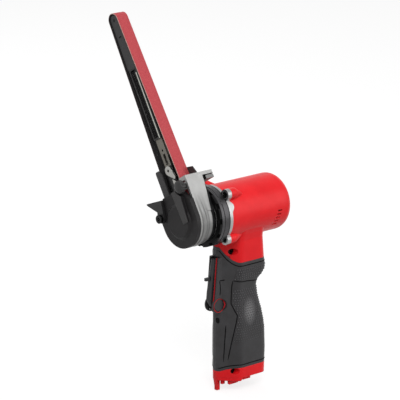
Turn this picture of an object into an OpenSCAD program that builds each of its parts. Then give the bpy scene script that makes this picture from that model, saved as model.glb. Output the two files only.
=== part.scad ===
// Cordless power file: a pistol grip motor unit with a swinging belt arm.
// X runs along the motor axis with the belt head at minus X, Z runs up the handle,
// and the origin is the centre of the battery socket's mouth.

/* [Layout] */
// Height of the motor axis above the battery mouth
axis_h = 158; // [156:0.5:162]
// Lean of the belt arm from upright, in degrees
head_tilt = 31; // [0:1:60]
// Radial running clearance of turning pieces
run_gap = 0.05; // [0.03:0.01:0.09]
// Clearance between pieces that move past each other
pass_gap = 0.4; // [0.3:0.05:0.5]
// Clearance between seated pieces
seat_gap = 0.05; // [0.03:0.01:0.08]

/* [Motor barrel] */
// Outer radius of the motor barrel
barrel_r = 26.8; // [26.4:0.1:27]
// Wall of the motor barrel
barrel_wall = 2.6; // [2.2:0.1:2.8]
// Distance from the handle axis forward to the barrel's front end
barrel_front = 31; // [30.8:0.1:31.2]
// Distance from the handle axis back to the barrel's rear end
barrel_rear = 44; // [44:0.5:48]
// Rounding of the barrel's rear end
barrel_round = 8; // [6:0.5:10]
// Radius of a gearcase screw boss
boss_r = 5; // [4.5:0.1:5.2]
// Length of a gearcase screw boss along the barrel
boss_len = 20; // [16:1:22]
// Length of a cooling vent
vent_len = 5; // [4:0.5:7]
// Height of a cooling vent
vent_h = 1.5; // [1:0.1:2]

/* [Handle] */
// Edge radius of the handle's five sided section
edge_r = 8; // [7.5:0.1:8.5]
// Distance from the handle axis to the nose edge's centre
nose_c = 21.3; // [20.8:0.1:21.8]
// Distance from the handle axis to the shoulder edges' centres
shoulder_c = 11; // [10:0.25:12]
// Distance from the handle axis to the rear edges' centres
rear_c = 11.6; // [11:0.1:12.5]
// Sideways distance to the edges' centres
side_c = 11; // [10.8:0.1:11.6]
// Wall of the moulded handle
handle_wall = 2.2; // [1.8:0.1:2.4]
// Thickness of the rubber sleeve
rubber_t = 2; // [1.6:0.1:2.2]
// Height of the bare band at the battery mouth
band_h = 10; // [9:0.25:11]
// Drop of the band at the front
band_dip = 3.9; // [3:0.1:5]
// Drop of the rubber's upper edge below the motor barrel
rubber_drop = 19.2; // [18.2:0.25:20.2]
// Rise of the rubber's upper edge at the front
rubber_rise = 14.5; // [13:0.25:15]
// Reach of the front guide tongue below the mouth
tongue_drop = 13; // [8:0.5:16]

/* [Trigger] */
// Width of the trigger
trigger_w = 5.4; // [5:0.1:5.8]
// Drop of the trigger's upper end below the motor barrel
trigger_drop = 16.2; // [15.7:0.25:17.2]
// Height of the direction button's centre, as a share of the axis height
button_share = 0.4494; // [0.446:0.001:0.456]
// Reach of the trigger's toe in front of the handle axis
trigger_reach = 39.3; // [38.5:0.1:40.5]
// Thickness of the trigger lock
lock_t = 2.8; // [2.2:0.1:3.2]
// Radius of the direction button
button_r = 5.6; // [5:0.1:6]
// Travel of the direction button to each side
button_travel = 1; // [0.6:0.1:1]

/* [Gear train] */
// Gear module
gear_m = 0.9; // [0.88:0.01:0.91]
// Face width of the gears
gear_w = 7; // [5:0.25:7]
// Radius of the motor shaft
shaft_r = 2.5; // [2:0.1:2.8]
// Radius of the drive spindle
spindle_r = 4; // [3.5:0.1:4.4]
// Radius of a planet pin
pin_r = 1.5; // [1.2:0.1:1.8]

/* [Belt and arm] */
// Width of the abrasive belt
belt_w = 12.7; // [12:0.1:12.8]
// Thickness of the abrasive belt
belt_t = 0.9; // [0.7:0.05:1]
// Distance from the drive axis to the tip roller's axis
arm_len = 196.4; // [192:0.2:204]
// Radius of the drive pulley
pulley_r = 12.5; // [12:0.1:12.7]
// Radius of the tip roller
roller_r = 5.9; // [5.7:0.1:6.2]
// Distance from the handle axis to the belt's centre line
belt_x = 58.4; // [58.3:0.05:58.6]
// Travel of the spring loaded arm when a belt is changed
arm_travel = 6; // [4:0.5:6]

/* [Head] */
// Outer radius of the head frame's round end
frame_r = 24; // [23.6:0.1:24.2]
// Wall of the head frame
frame_wall = 2.5; // [2:0.1:2.8]
// Height of the head frame's near wall above the drive axis
frame_top = 36.4; // [36:0.1:37]
// Radius of the pulley cover's round end
cover_r = 24.6; // [24.4:0.1:25.2]
// Depth of the pulley cover's dome
dome_t = 2.4; // [1.5:0.1:2.6]
// Outer radius of the index collar
collar_r = 28; // [27.6:0.1:28.2]
// Radius of the tracking knob
knob_r = 6; // [5:0.1:6.2]
// Length of the tracking knob
knob_len = 5.6; // [4:0.2:6.4]

/* [Hidden] */
$fn = 48;
cut = 1;

// Handle form: heights, rear centres and side centres, as shares of axis_h, rear_c and side_c
form_shares = [
    [0.000, 1.000, 1.000], [0.152, 1.052, 1.027], [0.272, 1.000, 1.000], [0.335, 0.879, 0.955],
    [0.392, 0.724, 0.891], [0.437, 0.552, 0.836], [0.487, 0.379, 0.782], [0.544, 0.302, 0.745],
    [0.576, 0.397, 0.764], [0.605, 0.759, 0.855], [0.636, 0.974, 0.964], [0.665, 1.026, 1.000],
    [0.696, 0.948, 1.000], [0.734, 0.845, 1.000], [0.785, 0.776, 1.018], [0.842, 0.690, 1.080],
    [0.880, 0.690, 1.190], [0.911, 0.690, 1.335],
];
nose_steps = 4;
flank_steps = 4;
shoulder_steps = 3;
rear_steps = 5;
section_n = nose_steps + flank_steps + shoulder_steps + rear_steps + 3;
ramp_start = 14;
ramp_end = 28;
ledge = 1;
skin = rubber_t + seat_gap;
core_inset = skin + handle_wall;

// Barrel, bosses, vents and screws
cavity_r = barrel_r - barrel_wall;
barrel_bottom = axis_h - barrel_r;
rubber_h = barrel_bottom - rubber_drop;
hub_wall = 2.2;
wire_r = 8;
wire_drop = 6.2;
wire_h = barrel_bottom - wire_drop;
boss_out = [3.7, 0.8];
boss_angles = [41, 135];
boss_places = [for (i = [0 : len(boss_out) - 1]) [barrel_r + boss_out[i], boss_angles[i]]];
screw_r = 1.6;
screw_head_r = 2.9;
screw_head_t = 2.4;
screw_len = 12;
drive_r = 1.5;
drive_depth = 1.3;
post_r = 3.6;
post_len = 9;
post_screw_len = 8;
post_drop = 8.7;
post_low = 6.7;
post_places = [[19.5, barrel_bottom - post_drop], [17.6, post_low]];
recess_floor = 8.5;
recess_r = 3.2;
recess_wall = 0.8;
vent_count = 5;
vent_x = 27;
vent_lean = 0.8;
vent_first = 4.3;
vent_step = 7.4;

// Inside of the handle
tongue_x = 26.5;
tongue_t = 3.6;
tongue_w = 3.6;
guide_size = [9, 2, 6];
guide_x = 9;
guide_drop = 3;
socket_share = 0.38;
socket_h = axis_h * socket_share;
contact_t = 4;
contact_gap = 0.3;
blade_size = [4, 0.8, 10];
blade_pitch = 6;
blade_count = 4;
switch_over = 10;
switch_h = socket_h + contact_t + switch_over;
switch_share = 0.658;
switch_top = axis_h * switch_share;
switch_size = [22, 11, switch_top - switch_h];
switch_front = 18;
board_t = 1.6;
board_w = 18;
chip_size = [8, 8, 2];
rib_len = 10;
rib_t = 3;
rib_x = 10;
rib_share = 0.4;

// Trigger, as shares of trigger_reach and of the trigger's height
button_bar_r = 1.6;
button_bar_drop = 3.7;
bar_gap = 1.1;
button_h = axis_h * button_share;
bar_h = button_h - button_bar_drop;
trigger_bottom = bar_h + button_bar_r + bar_gap;
trigger_top = barrel_bottom - trigger_drop;
trigger_h = trigger_top - trigger_bottom;
lock_share = 0.6;
lock_h = trigger_bottom + trigger_h * lock_share;
trigger_shares = [[0.84, 1], [0.903, 0.711], [0.985, 0.311], [1, 0.164], [0.903, 0.013]];
trigger_slice = 0.4;
trigger_back_top = 24.5;
trigger_back_bottom = 27.5;
trigger_back_rise = 2;
trigger_back_drop = 3;
hub_r = 3.2;
pivot_r = 1.8;
pivot_x = 25.5;
pivot_drop = 2;
pivot_h = trigger_top - pivot_drop;
slot_gap = 0.4;
slot_root = 21.8;
cheek_t = 1.4;
cheek_root = 20;
cheek_under = 4;
cheek_bottom = trigger_bottom - cheek_under;
cheek_top_reach = 32;
cheek_reach = 35.8;
cheek_show = 1.2;
skin_t = 1.3;
skin_bend = [-27, 6.2];
skin_root = 22;
skin_root_in = 8.2;
skin_root_out = 9.9;
skin_heel = 25.4;
cheek_toe_h = trigger_bottom + cheek_under;
lock_w = 2.4;
lock_out = 2.2;
lock_reach = trigger_reach + lock_out;
lock_root = 31;
lock_travel = 2.5;
button_x = 29.4;
button_ring_t = 0.7;
button_ring_end = 5.9;
button_boss_t = 1;
button_boss_in = 0.2;
button_len = 1.5;
gauge_y = 2.6;
gauge_gap = 5.9;
gauge_w = 3.4;
gauge_tall = 5.6;
gauge_h = button_h - button_r - pass_gap - button_ring_t - gauge_gap - gauge_tall / 2;
gauge_front = 28.6;
gauge_rear = 25.2;
trigger_spring_r = 2.4;
trigger_wire_r = 0.35;
trigger_spring_turns = 4;
trigger_spring_rise = 10;
trigger_spring_h = max(switch_h, trigger_bottom) + trigger_spring_rise;

// Gearcase and drive, as distances forward of the handle axis
flange_front = 35.2;
flange_out = 0.2;
flange_r = barrel_r + flange_out;
cup_wall = 2.3;
cup_front = 48;
cup_front_wall = 2.5;
nose_r = 11;
nose_front = 52.1;
clip_front = 51.7;
clip_t = 0.6;
clip_r = 11.9;
clip_groove = 0.8;
bearing_r = 8;
bearing_w = 5;
spindle_bearing_front = 51.6;
collar_front = 47.5;
collar_rear = 35.3;
notch_count = 12;
notch_w = 5;
home_notch_len = 6.5;
collar_groove = 0.9;
collar_groove_in = 5.4;
collar_groove_t = 0.7;
notch_floor = 25.4;

// Gears
sun_n = 12;
planet_n = 12;
ring_n = 36;
sun_r = sun_n * gear_m / 2;
planet_r = planet_n * gear_m / 2;
ring_pitch_r = ring_n * gear_m / 2;
orbit_r = sun_r + planet_r;
addendum_share = 0.8;
dedendum_share = 1.15;
tooth_root_share = 0.3;
tooth_tip_share = 0.1;
ring_rim = 3.3;
ring_out_r = ring_pitch_r + dedendum_share * gear_m + ring_rim;
cup_in_r = ring_out_r + seat_gap;
cup_r = cup_in_r + cup_wall;
gear_front = 41.5;
carrier_front = 45.1;
carrier_t = 3.1;
carrier_rim = 2.2;
carrier_r = orbit_r + pin_r + carrier_rim;

// Motor, as distances behind the handle axis
plate_front = -30.8;
plate_t = 3;
plate_hub_len = 2.6;
motor_bearing_r = 6.5;
motor_bearing_w = 4;
rear_bearing_x = 37;
stator_x = -4;
stator_len = 26;
yoke_share = 0.165;
stator_yoke = cavity_r * yoke_share;
stator_teeth = 6;
tooth_share = 0.248;
stator_tooth_w = cavity_r * tooth_share;
coil_share = 0.0826;
coil_t = cavity_r * coil_share;
coil_over = 3;
coil_in = cavity_r * coil_share;
rotor_share = 0.496;
rotor_r = cavity_r * rotor_share;
air_gap = 0.7;
rotor_over = 1;
fan_x = 28;
fan_len = 7;
fan_share = 0.826;
fan_r = cavity_r * fan_share;
fan_hub_r = 7;
fan_plate_t = 1.4;
fan_blades = 9;
fan_blade_t = 1.2;

// Belt and arm in head coordinates: Y across the arm, Z along it
belt_in_gap = 0.1;
belt_steps = 20;
pulley_in = 0.4;
pulley_groove = 0.6;
pulley_grooves = 5;
pulley_screw_r = 5;
pulley_screw_t = 2;
pulley_shank_r = 2;
pulley_shank_len = 6;
spindle_over = 0.6;
body_w = 10.6;
channel_bottom = 79;
channel_share = 0.592;
channel_top = channel_bottom + (arm_len - channel_bottom) * channel_share;
channel_far = 5;
channel_pocket = 2.4;
channel_rim = 1.6;
platen_t = 1.2;
platen_lip = 3.2;
platen_lip_t = 0.7;
platen_w = 11.6;
platen_top_in = 5;
platen_gap = 0.35;
tip_gap = 1.5;
tip_body_in = 8.6;
fork_t = 1.5;
fork_r = 5;
fork_len = 16;
roller_gap = 0.35;
roller_pin_r = 1.5;
tip_slot_w = 4.4;
tip_slot_len = 1.3;
tip_slot_in = 16.4;
tip_slot_t = 1.2;
base_half = 6;
base_bottom = 26;
base_top = 52;
foot_bottom = 16;
foot_half = 4.5;
foot_top = 30;
slide_front = 62.4;
slide_t = 2.2;
slide_half = 4.5;
slide_bottom = 34;
slide_under = 1;
slide_floor = slide_bottom - arm_travel - slide_under;
slide_slot_w = 3.4;
slide_slot_low = 54;
slide_slot_high = 64.5;
slide_hole_r = 1.1;
slide_hole_h = 68;
lug_h = base_top + arm_travel + pass_gap;
lug_t = 2;
lug_half = 3;
spring_x = 56.8;
spring_bore_r = 3;
spring_r = 2.3;
spring_wire_r = 0.45;
spring_turns = 8;
spring_floor = 30;
ear_t = 1.5;
ear_r = 4.4;
ear_v = -1;
ear_h = 48;
ear_hole_r = 1.3;
ear_tail = [-6, 40.4];
ear_tail_r = 1.6;

// Head frame, guard, latch and cover in head coordinates
frame_front = 67.5;
frame_rear = 48.3;
frame_back_t = 2.5;
far_top = 14;
near_back = 16.5;
lip_t = 3.8;
lip_v = 14.2;
lip_rear = 35.7;
band_front = 57.5;
band_t = 0.8;
frame_boss_r = 3.4;
frame_boss_len = 7.5;
guard_t = 0.9;
guard_top = 45.6;
guard_near = 22;
guard_step = 36.8;
guard_chamfer = [3, 1.6];
guard_crown = 7;
guard_gap = 0.4;
guard_wall_in = 13.4;
guard_wall_t = 1.6;
guard_wall_bottom = 25;
guard_wall_top = 52;
guard_front = 66;
guard_cheek_t = 1.2;
guard_cheek_in = 7.4;
guard_cheek_bottom = 27.4;
guard_cheek_round = 5;
latch_t = 3.3;
latch_in = 10;
latch_arm = 5.5;
latch_bar_front = 44.6;
latch_front = 46.9;
latch_tooth_near = 14.5;
latch_tooth_w = 3;
latch_tooth_t = 1.4;
latch_tip = 25.9;
latch_angle = 28.2;
cover_front = 72;
cover_plate_t = 1.8;
cover_rim_t = 2;
cover_gap = 0.2;
cover_top = 26.5;
cover_near_h = 14;
cover_near_in = 10.4;
cover_far_in = 12;
cover_far_h = 9;
dome_r = 17.8;
dome_top_r = 14;
strip_outline = [[-15, -4.4], [-17, 19.5], [-12.6, 24.5], [-12.6, 26.4], [-6.5, 26.4], [-8, -4.4]];
strip_t = 1.2;
lever_v = 20.5;
lever_h = 10.5;
lever_t = 2.5;
lever_hub_r = 4.4;
lever_tip = [32, 28];
lever_tip_r = 0.9;
lever_heel = [13.2, 24.4];
lever_heel_r = 1.2;
lever_knee = [21.2, 17.6];
cover_screw_r = 4;
cover_screw_t = 2.4;
cover_shank_r = 2;
hex_r = 1.9;
hex_depth = 1.4;
knob_v = -19.8;
knob_h = 27.6;
knob_shank_r = 2.2;
knob_bore_len = 5.5;
knob_flutes = 12;
knob_flute_r = 0.7;
knob_dome = 2.6;
knob_steps = 6;

// Stands children on the motor axis, with their Z along X
module on_axis(x) translate([x, 0, axis_h]) rotate([0, 90, 0]) children();
// Head coordinates: X stays, Y runs across the arm and Z along it
module on_head() translate([0, 0, axis_h]) rotate([-head_tilt, 0, 0]) children();
// Extrudes an outline of Y and Z from front to rear, both measured forward of the handle axis
module slab(front, rear)
    translate([-front, 0, 0]) rotate([90, 0, 90]) linear_extrude(front - rear) children();
module head_slab(front, rear) on_head() slab(front, rear) children();
// A box in head coordinates, given by its front, its low corner and its size across and along
module head_box(front, rear, low, size) head_slab(front, rear) translate(low) square(size);
module tube(r_out, r_in, h) linear_extrude(h) difference() {
    circle(r_out);
    circle(r_in);
}
module both_sides() {
    children();
    mirror([0, 1, 0]) children();
}

// Handle section: nose, shoulder and rear edges of one half, set in by inset
function column(i) = [for (row = form_shares) [row[0] * axis_h, row[i]]];
rear_column = column(1);
side_column = column(2);
function arc(c, r, from, to, n) =
    [for (i = [0 : n]) let (a = from + (to - from) * i / n) c + r * [cos(a), sin(a)]];
function section(z, inset) =
    let (r = edge_r - inset, cr = rear_c * lookup(z, rear_column), cy = side_c * lookup(z, side_column),
         flank = 90 + atan2(cy, nose_c - shoulder_c))
    let (turn = r * [cos(flank), sin(flank)], run = [nose_c - shoulder_c, cy])
    concat(arc([-nose_c, 0], r, 180, flank, nose_steps),
           [for (i = [1 : flank_steps - 1]) [-nose_c, 0] + turn + run * i / flank_steps],
           arc([-shoulder_c, cy], r, flank, 90, shoulder_steps),
           arc([cr, cy], r, 90, 0, rear_steps), [[cr + r, 0]]);
// Share of a front rise that a point at x takes
function ramp(x) = pow(min(1, max(0, (-x - ramp_start) / (ramp_end - ramp_start))), 2);
// One ring of points from its height, its inset and the rise of its front
function section_ring(row) =
    let (flat = section(row[0], 0))
    [for (j = [0 : section_n - 1])
        let (z = row[0] + row[2] * ramp(flat[j][0]), p = section(z, row[1])[j]) [p[0], p[1], z]];
// The ring closed by its mirror image
function ring_loop(row) = let (h = section_ring(row))
    concat(h, [for (j = [section_n - 2 : -1 : 1]) [h[j][0], -h[j][1], h[j][2]]]);
loop_n = 2 * section_n - 2;
// Faces of a shell with m rings of n points outside, and as many inside from index i on
function shell_faces(m, n, i) = concat(
    [for (k = [0 : m - 2], j = [0 : n - 1])
        let (p = k * n + j, s = k * n + (j + 1) % n, q = p + n, t = s + n)
        each [[p, s, t], [p, t, q], [i + p, i + t, i + s], [i + p, i + q, i + t]]],
    [for (j = [0 : n - 1]) let (s = (j + 1) % n, q = (m - 1) * n + j, t = (m - 1) * n + s)
        each [[q, t, i + t], [q, i + t, i + q], [j, i + s, s], [j, i + j, i + s]]]);
module lofted_shell(outer_rows, inner_rows) {
    outer = [for (row = outer_rows) each ring_loop(row)];
    inner = [for (row = inner_rows) each ring_loop(row)];
    polyhedron(concat(outer, inner), shell_faces(len(outer_rows), loop_n, len(outer)), convexity = 6);
}
// Everything on the left of the parting plane
module left_of_parting() translate([-axis_h, -axis_h, -axis_h]) cube([2 * axis_h, axis_h, 3 * axis_h]);
// Heights of the form's own rings between two heights
function heights(from, to) =
    [for (row = form_shares) if (row[0] * axis_h > from && row[0] * axis_h < to) row[0] * axis_h];
covered = heights(band_h + 2 * ledge, rubber_h - 2 * ledge);
neck = heights(rubber_h + rubber_rise, axis_h);
core_outer = concat(
    [[0, 0, 0], [band_h, 0, -band_dip], [band_h, skin, -band_dip]],
    [for (z = covered) [z, skin, 0]],
    [[rubber_h, skin, rubber_rise], [rubber_h, 0, rubber_rise]],
    [for (z = neck) [z, 0, 0]]);
core_inner = concat(
    [[0, core_inset, 0], [band_h, core_inset, -band_dip], [band_h + ledge, core_inset, -band_dip]],
    [for (z = covered) [z, core_inset, 0]],
    [[rubber_h - ledge, core_inset, rubber_rise], [rubber_h, core_inset, rubber_rise]],
    [for (z = neck) [z, core_inset, 0]]);
grip_outer = concat([[band_h + seat_gap, 0, -band_dip]], [for (z = covered) [z, 0, 0]],
                    [[rubber_h - seat_gap, 0, rubber_rise]]);
grip_inner = [for (row = grip_outer) [row[0], rubber_t, row[2]]];

// Motor barrel: outside, and the cavity with its rear bearing hub
barrel_outline = concat(
    [[0, -barrel_front], [barrel_r, -barrel_front]],
    arc([barrel_r - barrel_round, barrel_rear - barrel_round], barrel_round, 0, 90, 8), [[0, barrel_rear]]);
cavity_end = barrel_rear - barrel_wall;
hub_in = motor_bearing_r + seat_gap;
cavity_outline = concat(
    [[0, -barrel_front - cut], [cavity_r, -barrel_front - cut]],
    arc([barrel_r - barrel_round, barrel_rear - barrel_round], barrel_round - barrel_wall, 0, 90, 6),
    [[hub_in + hub_wall, cavity_end], [hub_in + hub_wall, rear_bearing_x], [hub_in, rear_bearing_x],
     [hub_in, cavity_end], [0, cavity_end]]);
// A gearcase boss in the barrel's end view, one for each place and side
module boss_2d(place, r, side) rotate(180 - side * place[1]) {
    translate([place[0], 0]) circle(r);
    translate([cavity_r - barrel_wall, -r]) square([place[0] - cavity_r + barrel_wall, 2 * r]);
}
module boss_hole(place, side, r) rotate(180 - side * place[1]) translate([place[0], 0]) circle(r);
module boss_bump(place) on_axis(-barrel_front) {
    sink = place[0] - cavity_r;
    run = boss_len - boss_r;
    linear_extrude(boss_r) boss_2d(place, boss_r, 1);
    rotate(180 - place[1]) translate([place[0], 0, boss_r]) {
        sphere(boss_r);
        rotate([0, -atan2(sink, run), 0])
            cylinder(h = sqrt(sink * sink + run * run), r1 = boss_r, r2 = screw_r);
    }
}
// Housing screws run across the parting plane, with their heads at minus Y
module post_at(place) translate([-place[0], 0, place[1]]) rotate([90, 0, 0]) children();
module vent(i) translate([0, 0, axis_h]) rotate([-vent_first - i * vent_step, 0, 0])
    translate([vent_x - i * vent_lean - vent_len / 2, barrel_r / 2, -vent_h / 2])
        cube([vent_len, barrel_r, vent_h]);
slot_half = trigger_w / 2 + slot_gap;
cheek_end = slot_half + cheek_t;
cheek_top = pivot_h + hub_r + slot_gap;
module cheek_2d(show) polygon([[show - cheek_top_reach, cheek_top], [show - cheek_reach, cheek_toe_h],
                               [show - cheek_reach, cheek_bottom], [-cheek_root, cheek_bottom],
                               [-cheek_root, cheek_top]]);
module cheek() translate([0, cheek_end, 0]) rotate([90, 0, 0]) linear_extrude(cheek_t) cheek_2d(0);
// Rubber over a cheek, which leaves the cheek's front edge bare, and round the direction button
skin_in = cheek_end + seat_gap;
module cheek_skin() intersection() {
    translate([0, barrel_r, 0]) rotate([90, 0, 0]) linear_extrude(barrel_r) cheek_2d(cheek_show);
    linear_extrude(axis_h) polygon([[-cheek_reach, skin_in], [-cheek_reach, skin_in + skin_t],
                                    skin_bend, [-skin_root, skin_root_out], [-skin_root, skin_root_in],
                                    [-skin_heel, skin_in]]);
}
module button_boss() intersection() {
    across(button_x, button_h, 0, button_ring_end - button_boss_in, ring_r + button_boss_t);
    linear_extrude(axis_h) polygon([[-lock_reach, skin_in], [-lock_reach, skin_root_out],
                                    [-skin_root, skin_root_out], [-skin_root, skin_root_in],
                                    [-skin_heel, skin_in]]);
}
module across(x, h, from, to, r) translate([-x, from, h]) rotate([-90, 0, 0]) cylinder(h = to - from, r = r);
module trigger_slot() translate([-lock_reach, -slot_half, trigger_bottom - slot_gap])
    cube([lock_reach - slot_root, 2 * slot_half, cheek_top - trigger_bottom + slot_gap]);
button_in = slot_half - slot_gap + pass_gap + button_travel;
ring_r = button_r + pass_gap + button_ring_t;
module button_room() {
    across(button_x, button_h, slot_half - slot_gap + pass_gap, barrel_r, button_r + pass_gap);
    across(button_x, bar_h, -cut, slot_half, button_bar_r + pass_gap);
}
module gauge_2d(gap) translate([-gauge_y, gauge_h]) {
    rise = (gauge_tall - gauge_w) / 2;
    translate([0, rise]) circle(gauge_w / 2 + gap);
    translate([0, -rise]) circle(gauge_w / 2 + gap);
    translate([-gauge_w / 2 - gap, -rise]) square([gauge_w + 2 * gap, 2 * rise]);
}
rib_h = switch_h + switch_size[2] * rib_share;
rib_in = switch_size[1] / 2 + seat_gap;
rib_out = side_c * lookup(rib_h, side_column) + edge_r - skin - handle_wall / 2;
module housing_half() difference() {
    union() {
        on_axis(0) rotate_extrude() polygon(barrel_outline);
        lofted_shell(core_outer, core_inner);
        for (place = boss_places) boss_bump(place);
        cheek();
        across(button_x, button_h, slot_half, button_ring_end, ring_r);
        for (place = post_places) across(place[0], place[1], -cut, post_len, post_r);
        translate([-tongue_x - tongue_t / 2, -tongue_w / 2, -tongue_drop])
            cube([tongue_t, tongue_w, tongue_drop + cut]);
        translate([-guide_x, side_c + edge_r - core_inset, -guide_drop]) cube(guide_size);
        translate([-rib_x, rib_in, rib_h]) cube([rib_len, rib_out - rib_in, rib_t]);
    }
    on_axis(0) rotate_extrude() polygon(cavity_outline);
    left_of_parting();
    translate([0, 0, wire_h]) cylinder(h = axis_h - wire_h, r = wire_r);
    trigger_slot();
    button_room();
    across(pivot_x, pivot_h, -cut, barrel_r, pivot_r + run_gap);
    for (i = [0 : vent_count - 1]) vent(i);
    for (place = boss_places)
        on_axis(-barrel_front - cut) linear_extrude(screw_len) boss_hole(place, 1, screw_r + seat_gap);
    for (place = post_places)
        across(place[0], place[1], -cut, post_screw_len + seat_gap, screw_r + seat_gap);
}
module screw_recess(place)
    post_at(place) translate([0, 0, recess_floor]) cylinder(h = barrel_r, r = recess_r);
// Wall round a screw recess, from the post out to the middle of the handle's wall
module recess_sleeve(place) intersection() {
    post_at(place) translate([0, 0, recess_floor - cut]) cylinder(h = barrel_r, r = recess_r + recess_wall);
    linear_extrude(axis_h)
        polygon([for (p = section(place[1], skin + handle_wall / 2)) [p[0], -p[1]]]);
}
module housing_left() color([0.86, 0.15, 0.16]) difference() {
    union() {
        mirror([0, 1, 0]) housing_half();
        for (place = post_places) recess_sleeve(place);
    }
    for (place = post_places) {
        post_at(place) cylinder(h = post_len, r = screw_r + seat_gap);
        screw_recess(place);
    }
    slab(nose_c + edge_r + cut, nose_c) gauge_2d(seat_gap);
}
module housing_right() color([0.86, 0.15, 0.16]) housing_half();

module grip_half() difference() {
    union() {
        lofted_shell(grip_outer, grip_inner);
        cheek_skin();
        button_boss();
    }
    left_of_parting();
    translate([-lock_reach, -cut, cheek_bottom - seat_gap])
        cube([lock_reach - cheek_root + seat_gap, cheek_end + seat_gap + cut,
              cheek_top - cheek_bottom + 2 * seat_gap]);
    across(button_x, button_h, slot_half - slot_gap, barrel_r, ring_r + seat_gap);
    across(button_x, bar_h, -cut, slot_half, button_bar_r + pass_gap);
}
module grip_left() color([0.22, 0.22, 0.23]) difference() {
    mirror([0, 1, 0]) grip_half();
    for (place = post_places) screw_recess(place);
    slab(nose_c + edge_r + cut, nose_c) gauge_2d(seat_gap);
}
module grip_right() color([0.22, 0.22, 0.23]) grip_half();

// Gearcase: flange, cup, front wall and the nose that the head turns on
gear_rear = gear_front - gear_w;
module gearcase() color([0.75, 0.75, 0.74]) difference() {
    union() {
        on_axis(-flange_front) linear_extrude(flange_front - barrel_front) union() {
            circle(flange_r);
            for (place = boss_places, side = [-1, 1]) boss_2d(place, boss_r, side);
        }
        on_axis(-cup_front) cylinder(h = cup_front - barrel_front, r = cup_r);
        on_axis(-nose_front) cylinder(h = nose_front - cup_front + cut, r = nose_r);
    }
    on_axis(-cup_front + cup_front_wall) cylinder(h = cup_front, r = cup_in_r);
    on_axis(-nose_front - cut) cylinder(h = nose_front, r = spindle_r + pass_gap);
    on_axis(-spindle_bearing_front) cylinder(h = bearing_w, r = bearing_r + seat_gap);
    on_axis(-nose_front - cut)
        cylinder(h = nose_front - spindle_bearing_front + 2 * cut, r = bearing_r + seat_gap);
    on_axis(-clip_front) tube(nose_r + cut, nose_r - clip_groove, clip_t + seat_gap);
    for (place = boss_places, side = [-1, 1]) on_axis(-flange_front - cut) {
        linear_extrude(screw_len) boss_hole(place, side, screw_r + seat_gap);
        linear_extrude(screw_head_t + cut) boss_hole(place, side, screw_head_r + seat_gap);
    }
}
notch_len = collar_front - latch_front + latch_tooth_t + pass_gap;
module index_collar() color([0.09, 0.09, 0.1]) difference() {
    on_axis(-collar_front) tube(collar_r, cup_r + seat_gap, collar_front - collar_rear);
    for (i = [0 : notch_count - 1]) translate([0, 0, axis_h])
        rotate([latch_angle - head_tilt + i * 360 / notch_count, 0, 0])
            translate([-collar_front - cut, -notch_w / 2, notch_floor])
                cube([(i == 0 ? home_notch_len : notch_len) + cut, notch_w, collar_r]);
    on_axis(-collar_front + collar_groove_in)
        tube(collar_r + cut, collar_r - collar_groove_t, collar_groove);
}
module head_clip() color([0.5, 0.5, 0.5])
    on_axis(-clip_front) tube(clip_r, nose_r - clip_groove + seat_gap, clip_t);
module spindle_bearing() color([0.7, 0.7, 0.72])
    on_axis(-spindle_bearing_front) tube(bearing_r, spindle_r + run_gap, bearing_w);
module gearcase_screws() color([0.3, 0.3, 0.31])
    for (place = boss_places, side = [-1, 1]) on_axis(-flange_front) difference() {
        union() {
            linear_extrude(screw_head_t) boss_hole(place, side, screw_head_r);
            linear_extrude(screw_len - cut) boss_hole(place, side, screw_r);
        }
        translate([0, 0, -cut]) linear_extrude(drive_depth + cut) boss_hole(place, side, drive_r, $fn = 6);
    }
module housing_screws() color([0.2, 0.2, 0.2]) for (place = post_places) post_at(place) difference() {
    union() {
        translate([0, 0, -post_screw_len]) cylinder(h = post_screw_len + recess_floor, r = screw_r);
        translate([0, 0, recess_floor]) cylinder(h = screw_head_t, r = screw_head_r);
    }
    translate([0, 0, recess_floor + screw_head_t - drive_depth])
        cylinder(h = screw_len, r = drive_r, $fn = 6);
}

// Gear outline: n trapezoid teeth between a root and a tip radius, one of them at angle zero
function gear_points(n, root, tip) =
    [for (k = [0 : n - 1], c = [[root, -tooth_root_share], [tip, -tooth_tip_share],
                                [tip, tooth_tip_share], [root, tooth_root_share]])
        let (a = (k + c[1]) * 360 / n) c[0] * [cos(a), sin(a)]];
module gear_2d(n, r) polygon(gear_points(n, r - dedendum_share * gear_m, r + addendum_share * gear_m));
module ring_gear() color([0.55, 0.55, 0.57]) on_axis(-gear_front) linear_extrude(gear_w) difference() {
    circle(ring_out_r);
    polygon(gear_points(ring_n, ring_pitch_r + dedendum_share * gear_m,
                        ring_pitch_r - addendum_share * gear_m));
}
module planet_gear(i) on_axis(-gear_front) rotate(i * 120) translate([orbit_r, 0]) rotate(180 / planet_n)
    linear_extrude(gear_w) difference() {
        gear_2d(planet_n, planet_r);
        circle(pin_r + run_gap);
    }
module planet_gear_1() color([0.6, 0.58, 0.5]) planet_gear(0);
module planet_gear_2() color([0.6, 0.58, 0.5]) planet_gear(1);
module planet_gear_3() color([0.6, 0.58, 0.5]) planet_gear(2);
pulley_front = belt_x + belt_w / 2 - pulley_in;
pulley_rear = belt_x - belt_w / 2 + pulley_in;
spindle_end = pulley_front + spindle_over;
module planet_carrier() color([0.62, 0.62, 0.64]) difference() {
    union() {
        on_axis(-carrier_front) cylinder(h = carrier_t, r = carrier_r);
        for (i = [0 : 2]) on_axis(-carrier_front) rotate(i * 120) translate([orbit_r, 0])
            cylinder(h = carrier_front - gear_rear, r = pin_r);
        on_axis(-spindle_end) cylinder(h = spindle_end - carrier_front + cut, r = spindle_r);
    }
    on_axis(-spindle_end - cut) cylinder(h = pulley_shank_len + cut, r = pulley_shank_r + seat_gap);
}
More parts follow.
